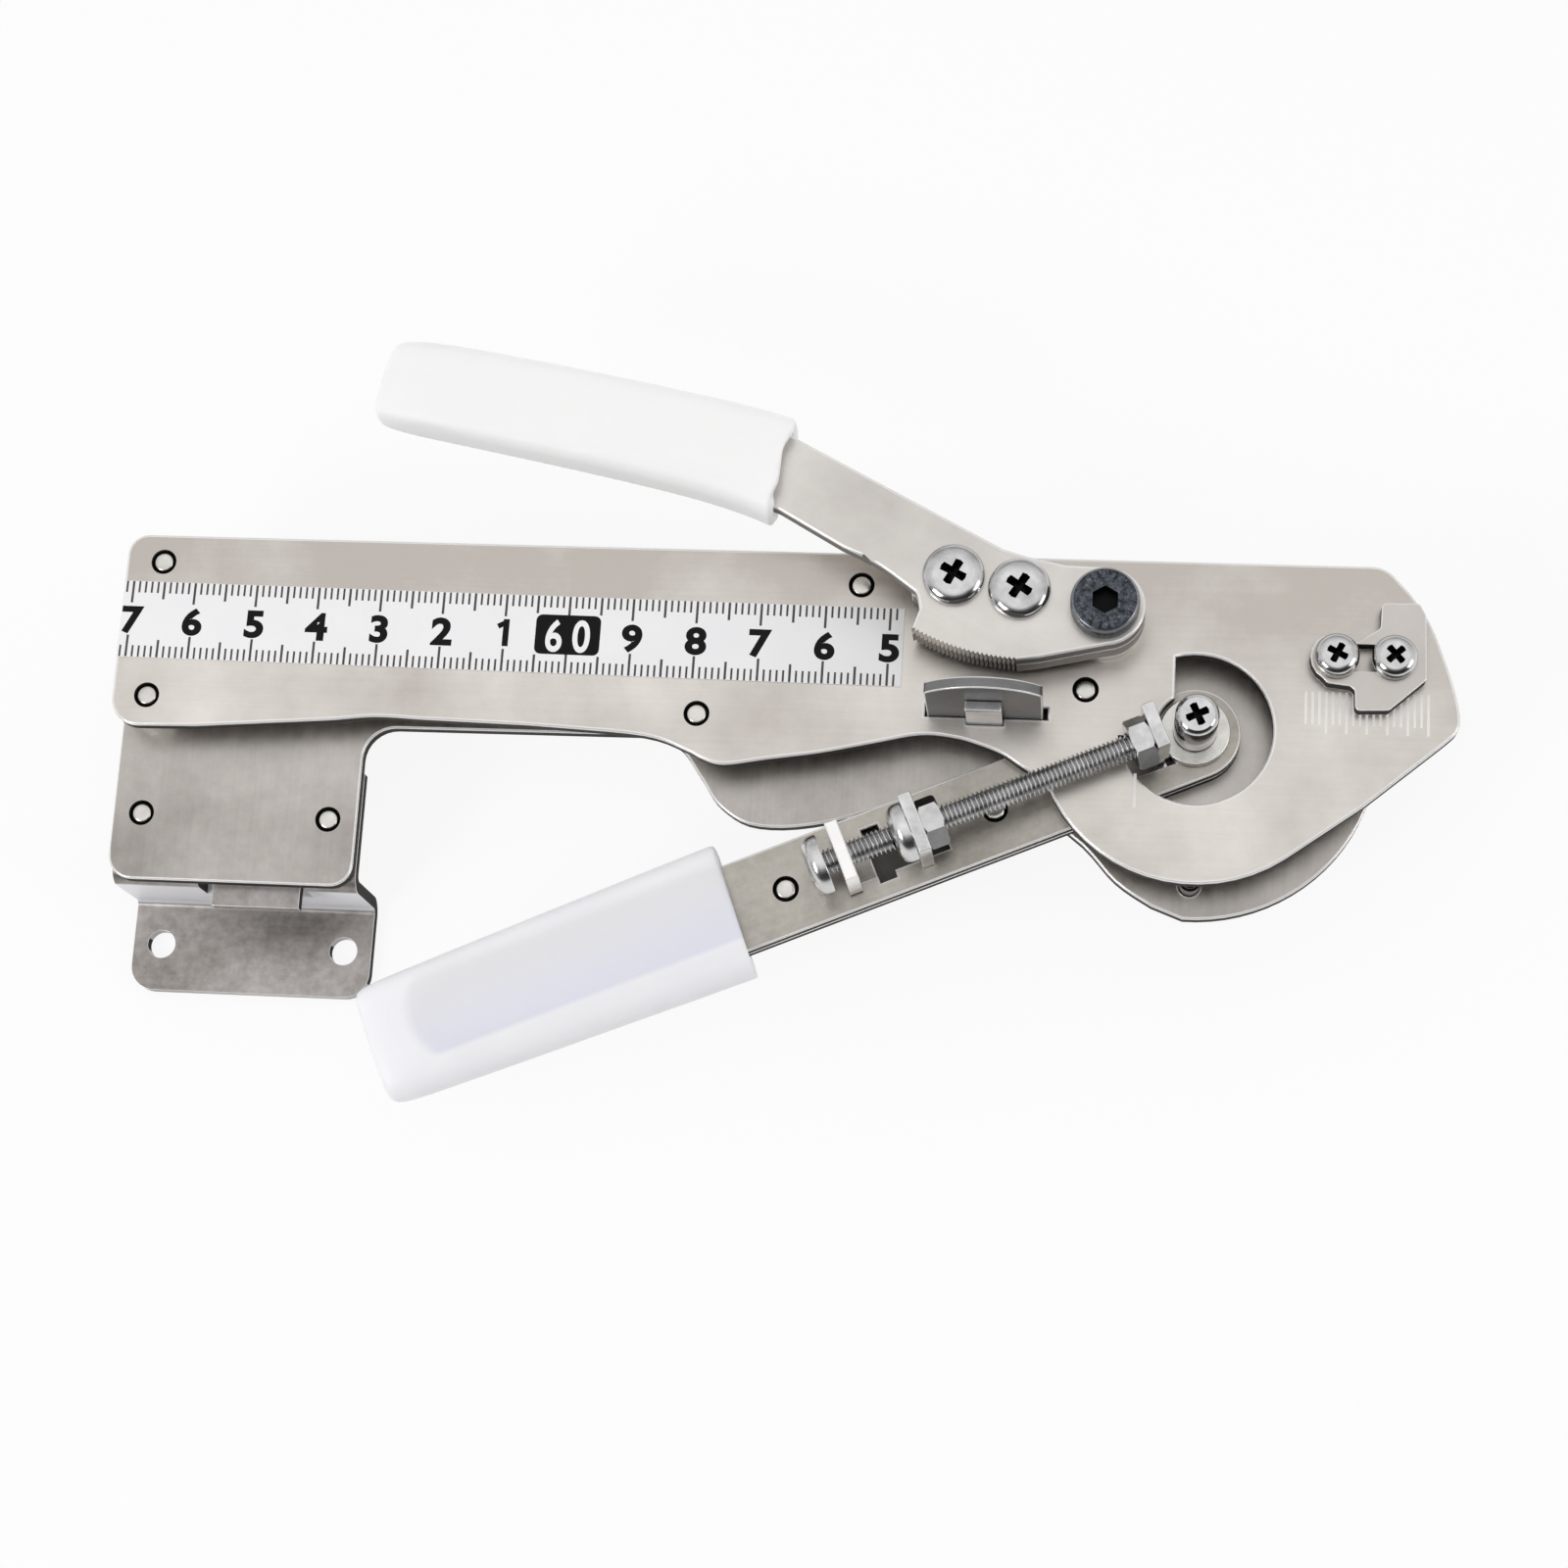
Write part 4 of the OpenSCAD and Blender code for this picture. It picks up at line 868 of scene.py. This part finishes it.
strip = [moved(rivet(Z_REAR, Z_FACE), at(x, y)) for x, y in PLATE_RIVETS]
strip.append(moved(rivet(Z_REAR, Z_FACE, collar=True), at(*STANDOFF)))
block = [moved(rivet(Z_BRACKET, Z_GAP), at(x, y)) for x, y in BLOCK_RIVETS]
arm_set = [moved(rivet(Z_ARM, Z_DECK), ON_ARM @ at(x, y)) for x, y in ARM_RIVETS]
for name, rivets, body in (("plate_rivets", strip, "frame"), ("bracket_rivets", block, "frame"),
                           ("arm_rivets", arm_set, "arm")):
    add_piece(name + "_set", joined(*rivets), turned_steel, body, "turned_steel", name,
              corner=RIVET_CORNER)

# %% The pin that stops the arm
PIN_R, BUTTON_R = 1.59, 1.32
pin_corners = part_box("arm_stop_pin")
pin_low, pin_high = (corner.z / MM for corner in pin_corners)
pin_middle = (pin_corners[0] + pin_corners[1]) / (2 * MM)
pin = turn([(0, pin_high), (0.8, pin_high), (1.15, pin_high - 0.12), (1.3, pin_high - 0.3),
            (BUTTON_R, pin_high - 1.0), (PIN_R, pin_high - 1.02), (PIN_R, pin_low),
            (0, pin_low)], RIVET_STEPS)
# The ring round the pin's button is marked to be painted nearly black as shade.
mark_faces(pin, "grime", lambda face: (
    face.calc_center_median().to_2d().length > BUTTON_R - 0.01
    and face.calc_center_median().z > pin_high - 1.1))
print("stop pin from", round(pin_low, 2), "to", round(pin_high, 2))
add_piece("arm_stop_pin_turned", moved(pin, at(pin_middle.x, pin_middle.y)), pin_steel, "frame",
          frame["nodes"]["arm_stop_pin"].material_slots[0].material.name, "arm_stop_pin",
          corner=RIVET_CORNER)

# %% [markdown]
# ## The printed scales
#
# The tape carries millimetre strokes along both edges and a numeral at every centimetre,
# counted down from left to right, with the sixty in a black block. The strokes are thin bars
# a hundredth of a millimetre proud, so they keep their place and sharpness at any distance.
# The white strokes beside the end stop and by the window are made the same way.

# %% Strokes
TAPE_MID = Vector((42.9, 46.8, 0))
TAPE_W = 12.5
TAPE_TOP = 26.65
TAPE_LEFT, TAPE_RIGHT = -62.4, 61.3
SIXTY_X = 9.1
# How far print reaches into its ground, and the levels of its tops
ROOT = 0.02
STROKE_TOP, NUMERAL_TOP, SIXTY_TOP = TAPE_TOP + 0.01, TAPE_TOP + 0.012, TAPE_TOP + 0.022
ON_TAPE = Matrix.Translation(TAPE_MID) @ Matrix.Rotation(math.radians(-0.5), 4, "Z")
tape = bmesh.new()
bar(tape, TAPE_LEFT, TAPE_RIGHT, -TAPE_W / 2, TAPE_W / 2, TAPE_TOP - 0.15, TAPE_TOP)
bmesh.ops.bevel(tape, geom=tape.edges[:], offset=0.04, offset_type="OFFSET", segments=2,
                profile=0.5, affect="EDGES", material=-1)
add_piece("ruler_tape_lacquered", moved(tape, ON_TAPE), tape_white, "frame", "tape_white",
          "ruler_tape")
strokes = bmesh.new()
for k in range(-75, 60):
    x = SIXTY_X + k
    if TAPE_LEFT + 0.3 < x < TAPE_RIGHT - 0.2:
        reach = 3.6 if k % 10 == 0 else 2.9 if k % 5 == 0 else 1.9
        half = 0.19 if k % 5 == 0 else 0.16
        for side in (-1, 1):
            ends = sorted((side * (TAPE_W / 2 - 0.05), side * (TAPE_W / 2 - reach)))
            bar(strokes, x - half, x + half, *ends, TAPE_TOP - ROOT, STROKE_TOP)
add_piece("tape_strokes", moved(strokes, ON_TAPE), ink_grey, "frame", "tape_white")

# %% Numerals
def figures(words, height, centre, widen, bold, top):
    """Numerals as a thin closed mesh, standing on the tape."""
    curve = bpy.data.curves.new("figures", "FONT")
    curve.body, curve.size = words, 1.0
    curve.align_x, curve.align_y = "CENTER", "CENTER"
    curve.offset, curve.extrude, curve.resolution_u = bold, 0.5, 6
    holder = bpy.data.objects.new("figures", curve)
    bpy.context.scene.collection.objects.link(holder)
    bpy.context.view_layer.update()
    shape = holder.evaluated_get(bpy.context.evaluated_depsgraph_get())
    bm = bmesh.new()
    bm.from_mesh(shape.to_mesh())
    shape.to_mesh_clear()
    bpy.data.objects.remove(holder)
    bpy.data.curves.remove(curve)
    xs, ys = [v.co.x for v in bm.verts], [v.co.y for v in bm.verts]
    grow = height / (max(ys) - min(ys))
    bmesh.ops.translate(bm, verts=bm.verts,
                        vec=(-(max(xs) + min(xs)) / 2, -(max(ys) + min(ys)) / 2, 0))
    bmesh.ops.scale(bm, verts=bm.verts, vec=(grow * widen, grow, 0.02))
    return moved(bm, Matrix.Translation((centre, -0.2, top - 0.01)))


def figure_one(centre, top):
    """A one with a slanted flag, as the tape has it."""
    bm = bmesh.new()
    bar(bm, centre - 0.25, centre + 0.7, -2.2, 2.2, top - ROOT, top)
    flag = bmesh.new()
    bar(flag, -0.35, 1.45, -0.42, 0.42, top - 0.022, top - 0.002)
    place = Matrix.Translation((centre - 0.75, 1.15, 0)) @ Matrix.Rotation(0.5, 4, "Z")
    return joined(bm, moved(flag, place))


def trimmed(bm, left):
    """Cuts off what lies left of the tape's end."""
    cut = bmesh.ops.bisect_plane(bm, geom=bm.verts[:] + bm.edges[:] + bm.faces[:],
                                 plane_co=(left, 0, 0), plane_no=(-1, 0, 0), clear_outer=True)
    bmesh.ops.holes_fill(bm, edges=[e for e in cut["geom_cut"]
                                    if isinstance(e, bmesh.types.BMEdge)], sides=0)
    return bm


black = []
for k in range(-7, 6):
    place = SIXTY_X + 10 * k
    if k == -1:
        black.append(figure_one(place, NUMERAL_TOP))
    elif k:
        figure = str(-k if k < 0 else 10 - k)
        shape = figures(figure, 4.55, place + (0.4 if k == -7 else 0.1), 1.12, 0.04,
                        NUMERAL_TOP)
        black.append(trimmed(shape, TAPE_LEFT + 0.05) if k == -7 else shape)
plaque = bmesh.new()
bar(plaque, SIXTY_X - 5.1, SIXTY_X + 5.1, -3.2, 3.2, TAPE_TOP - ROOT, NUMERAL_TOP)
upright = [e for e in plaque.edges if abs(e.verts[0].co.z - e.verts[1].co.z) > 0.01]
bmesh.ops.bevel(plaque, geom=upright, offset=1.0, offset_type="OFFSET", segments=5,
                profile=0.5, affect="EDGES", material=-1)
add_piece("tape_numerals", moved(joined(plaque, *black), ON_TAPE), ink_black, "frame",
          "tape_white")
sixty = joined(*[figures(digit, 5.3, SIXTY_X + shift, 0.8, 0.02, SIXTY_TOP)
                 for digit, shift in (("6", -2.15), ("0", 2.15))])
add_piece("tape_sixty", moved(sixty, ON_TAPE), tape_white, "frame", "tape_white")

# %% White strokes on the plate
SCALE_X, SCALE_STEP, SCALE_Y = 165.45, 1.012, 41.3
scale = bmesh.new()
for k in range(19):
    x = SCALE_X + SCALE_STEP * k
    foot = 34.8 if k % 3 == 0 and k else 36.1
    bar(scale, x - 0.2, x + 0.2, foot, SCALE_Y, Z_FACE - ROOT, Z_FACE + 0.012)
bar(scale, 139.95, 140.4, 22.3, 27.6, Z_FACE - ROOT, Z_FACE + 0.012)
add_piece("plate_strokes", scale, paint_white, "frame", "tape_white")

# %% [markdown]
# ## The handle sleeves
#
# Each handle is pushed into a thick milky tube with a closed, rounded far end. A ring of
# points shaped as a flat oval is copied along the handle, every ring is bridged to the next,
# the far ring is closed, and Solidify gives the wall its thickness inwards. The mouth of the
# real sleeve isn't cut square, so its first ring leans and waves.

# %% How a sleeve is drawn
# A power under 1 makes the sides of the oval fuller
RING_POINTS, FULLNESS = 40, 0.62


def oval(bm, width, thick):
    """A flat oval ring in the YZ plane."""
    ring = bmesh.ops.create_circle(bm, segments=RING_POINTS, radius=1.0,
                                   cap_ends=False)["verts"]
    for vert in ring:
        y = math.copysign(abs(vert.co.x) ** FULLNESS, vert.co.x) * width / 2
        z = math.copysign(abs(vert.co.y) ** FULLNESS, vert.co.y) * thick / 2
        vert.co = (0, y, z)
    return ring


def sleeve(stations, wave, wall):
    """Bridges rings at (along, aside, width, thick) stations and closes the far end."""
    bm = bmesh.new()
    rings = []
    for i, (along, aside, width, thick) in enumerate(stations):
        ring = oval(bm, width, thick)
        for vert in ring:
            lean = wave(vert.co.y) if i == 0 else 0.0
            vert.co += Vector((along + lean, aside, 0))
        rings.append(ring)
    for a, b in zip(rings, rings[1:]):
        pair = [e for e in bm.edges if all(v in a for v in e.verts)
                or all(v in b for v in e.verts)]
        bmesh.ops.bridge_loops(bm, edges=pair)
    last = [e for e in bm.edges if all(v in rings[-1] for v in e.verts)]
    bmesh.ops.edgeloop_fill(bm, edges=last)
    bmesh.ops.recalc_face_normals(bm, faces=bm.faces)
    bmesh.ops.solidify(bm, geom=bm.faces[:], thickness=wall)
    bmesh.ops.recalc_face_normals(bm, faces=bm.faces)
    return bm


def soften(piece):
    smooth = piece.modifiers.new("soft_wall", "SUBSURF")
    smooth.levels = smooth.render_levels = 2


print("sleeve rings:", RING_POINTS, "points each")

# %% The two sleeves
# Rings as (along, aside, width, thick), from the mouth to the closed end
ARM_MOUTH, ARM_WALL, LEVER_WALL = 74.3, 2.75, 1.55
ARM_SLEEVE = [(0, 0, 21.4, 9.9), (0.9, 0, 21.4, 9.95), (6, 0, 21.3, 9.95), (20, 0, 20.7, 9.9),
              (38, 0, 20.0, 9.8), (52, 0, 19.3, 9.5), (57.5, 0, 18.9, 9.0),
              (59.3, 0, 17.9, 7.8), (59.9, 0, 15.4, 5.6)]
grip = sleeve(ARM_SLEEVE, lambda y: 0.45 + 0.04 * y, ARM_WALL)
grip = moved(grip, ON_ARM @ Matrix.Translation((ARM_MOUTH, 0, Z_SEAM)))
soften(add_piece("arm_sleeve_soft", grip, arm_vinyl, "arm", "frosted_sleeve", "arm_sleeve",
                 corner=80))

MOUTH = Vector((85.45, 71.45, 33.5))
LEVER_SLEEVE = [(0, 0, 16.6, 9.9), (1.0, 0.2, 16.6, 9.95), (5, 0.75, 16.2, 9.95),
                (13.2, 1.28, 15.6, 9.95), (29.7, 1.28, 15.3, 9.9), (49.5, 0.93, 15.1, 9.4),
                (60, 0.5, 14.7, 9.0), (64.3, 0.2, 13.6, 8.0), (65.9, 0.05, 11.4, 6.0)]
HANDLE = (Matrix.Translation(MOUTH) @ Matrix.Rotation(math.radians(HANDLE_ANGLE), 4, "Z")
          @ Matrix.Scale(-1, 4, (0, 1, 0)))
grip = sleeve(LEVER_SLEEVE, lambda y: 0.5 + 0.45 * math.sin(y * 0.75), LEVER_WALL)
grip = moved(grip, HANDLE)
bmesh.ops.reverse_faces(grip, faces=grip.faces)
soften(add_piece("lever_sleeve_soft", grip, lever_vinyl, "lever", "frosted_sleeve",
                 "lever_sleeve", corner=80))

# %% [markdown]
# ## The pieces that keep their solid
#
# The spacers and the hidden nuts are already the right shape, so they only get a finish.

# %% Finishes for the kept solids
KEPT = {
    turned_steel: ["plate_spacers", "lever_spacer"],
    zinc: ["mandrel_nut", "stop_nuts"],
    oxide: ["lever_nut"],
}
for metal, nodes in KEPT.items():
    for node in nodes:
        for slot in frame["nodes"][node].material_slots:
            slot.material = metal
print("kept solids:", sum(len(nodes) for nodes in KEPT.values()))

# %% [markdown]
# ## Floor, light and camera
#
# The tool lies on a white table under a large soft light. The table is plain white, and to
# the camera and to mirrors it glows just enough to pass into the background, while it still
# takes the tool's shadow. The sky is white overhead, with one dark band in front above the
# horizon: bright metal needs something dark to mirror, and the band draws the dark lines in
# the rounded edges and the screw heads.

# %% Table
TABLE_SIZE, TABLE_GLOW = 3.0, 0.88
bm = bmesh.new()
bmesh.ops.create_grid(bm, x_segments=2, y_segments=2, size=TABLE_SIZE)
mesh = bpy.data.meshes.new("table")
bm.to_mesh(mesh)
bm.free()
table = bpy.data.objects.new("table", mesh)
bpy.context.scene.collection.objects.link(table)
paint = paint_box("white_table")
tree = paint.tree
tree.nodes.remove(tree.nodes["Principled BSDF"])
rays = [paint.node("ShaderNodeLightPath", out=kind)
        for kind in ("Is Camera Ray", "Is Glossy Ray", "Is Transmission Ray")]
matt = paint.node("ShaderNodeBsdfDiffuse", {}, {"Color": (0.86, 0.86, 0.86, 1)})
glow = paint.node("ShaderNodeEmission", {}, {"Color": (1, 1, 1, 1), "Strength": 1.0})
share = (rays[0] + rays[1] + rays[2]).clamped() * TABLE_GLOW
mixed = paint.node("ShaderNodeMixShader", {}, {0: share, 1: matt, 2: glow})
paint.plug(tree.nodes["Material Output"].inputs["Surface"], mixed)
mesh.materials.append(paint.owner)
print("table:", 2 * TABLE_SIZE, "m wide")

# %% Sky and lamps
world = bpy.data.worlds.new("studio")
bpy.context.scene.world = world
paint = Paint(world)
toward = paint.node("ShaderNodeTexCoord", out="Generated")
up = paint.part(toward, "Z")
front = 1 - paint.steps(paint.part(toward, "Y"), -0.38, -0.08)
band = paint.steps(up, 0.05, 0.2) * (1 - paint.steps(up, 0.78, 0.96)) * front
rear = paint.steps(paint.part(toward, "Y"), 0.5, 0.8) * (1 - paint.steps(up, 0.3, 0.6))
level = 0.82 - 0.79 * band - 0.3 * rear + 0.26 * paint.steps(up, 0.6, 0.92)
seen_ray = paint.node("ShaderNodeLightPath", out="Is Camera Ray")
level = level * (1 - seen_ray) + seen_ray
backdrop = world.node_tree.nodes["Background"]
backdrop.inputs["Color"].default_value = (1, 1, 1, 1)
paint.plug(backdrop.inputs["Strength"], level)


def lamp(name, place, aim, size, power):
    data = bpy.data.lights.new(name, "AREA")
    data.shape, data.size, data.energy = "SQUARE", size, power
    made = bpy.data.objects.new(name, data)
    bpy.context.scene.collection.objects.link(made)
    made.location = place
    made.rotation_euler = (Vector(aim) - Vector(place)).to_track_quat("-Z", "Y").to_euler()


MIDDLE = (0.085, 0.03, 0.02)
lamp("key_light", (-0.5, -0.45, 0.6), MIDDLE, 0.35, 3.2)
lamp("fill_light", (0.75, -0.1, 0.35), MIDDLE, 0.3, 0.8)

# %% Camera
data = bpy.data.cameras.new("camera")
data.lens, data.sensor_width = 69.68, 36.0
camera = bpy.data.objects.new("camera", data)
bpy.context.scene.collection.objects.link(camera)
camera.location = (0.13439, -0.08626, 0.47311)
camera.rotation_euler = [math.radians(a) for a in (14.13258, 5.22439, 3.31400)]
bpy.context.scene.camera = camera
bpy.context.scene.view_settings.view_transform = "Standard"
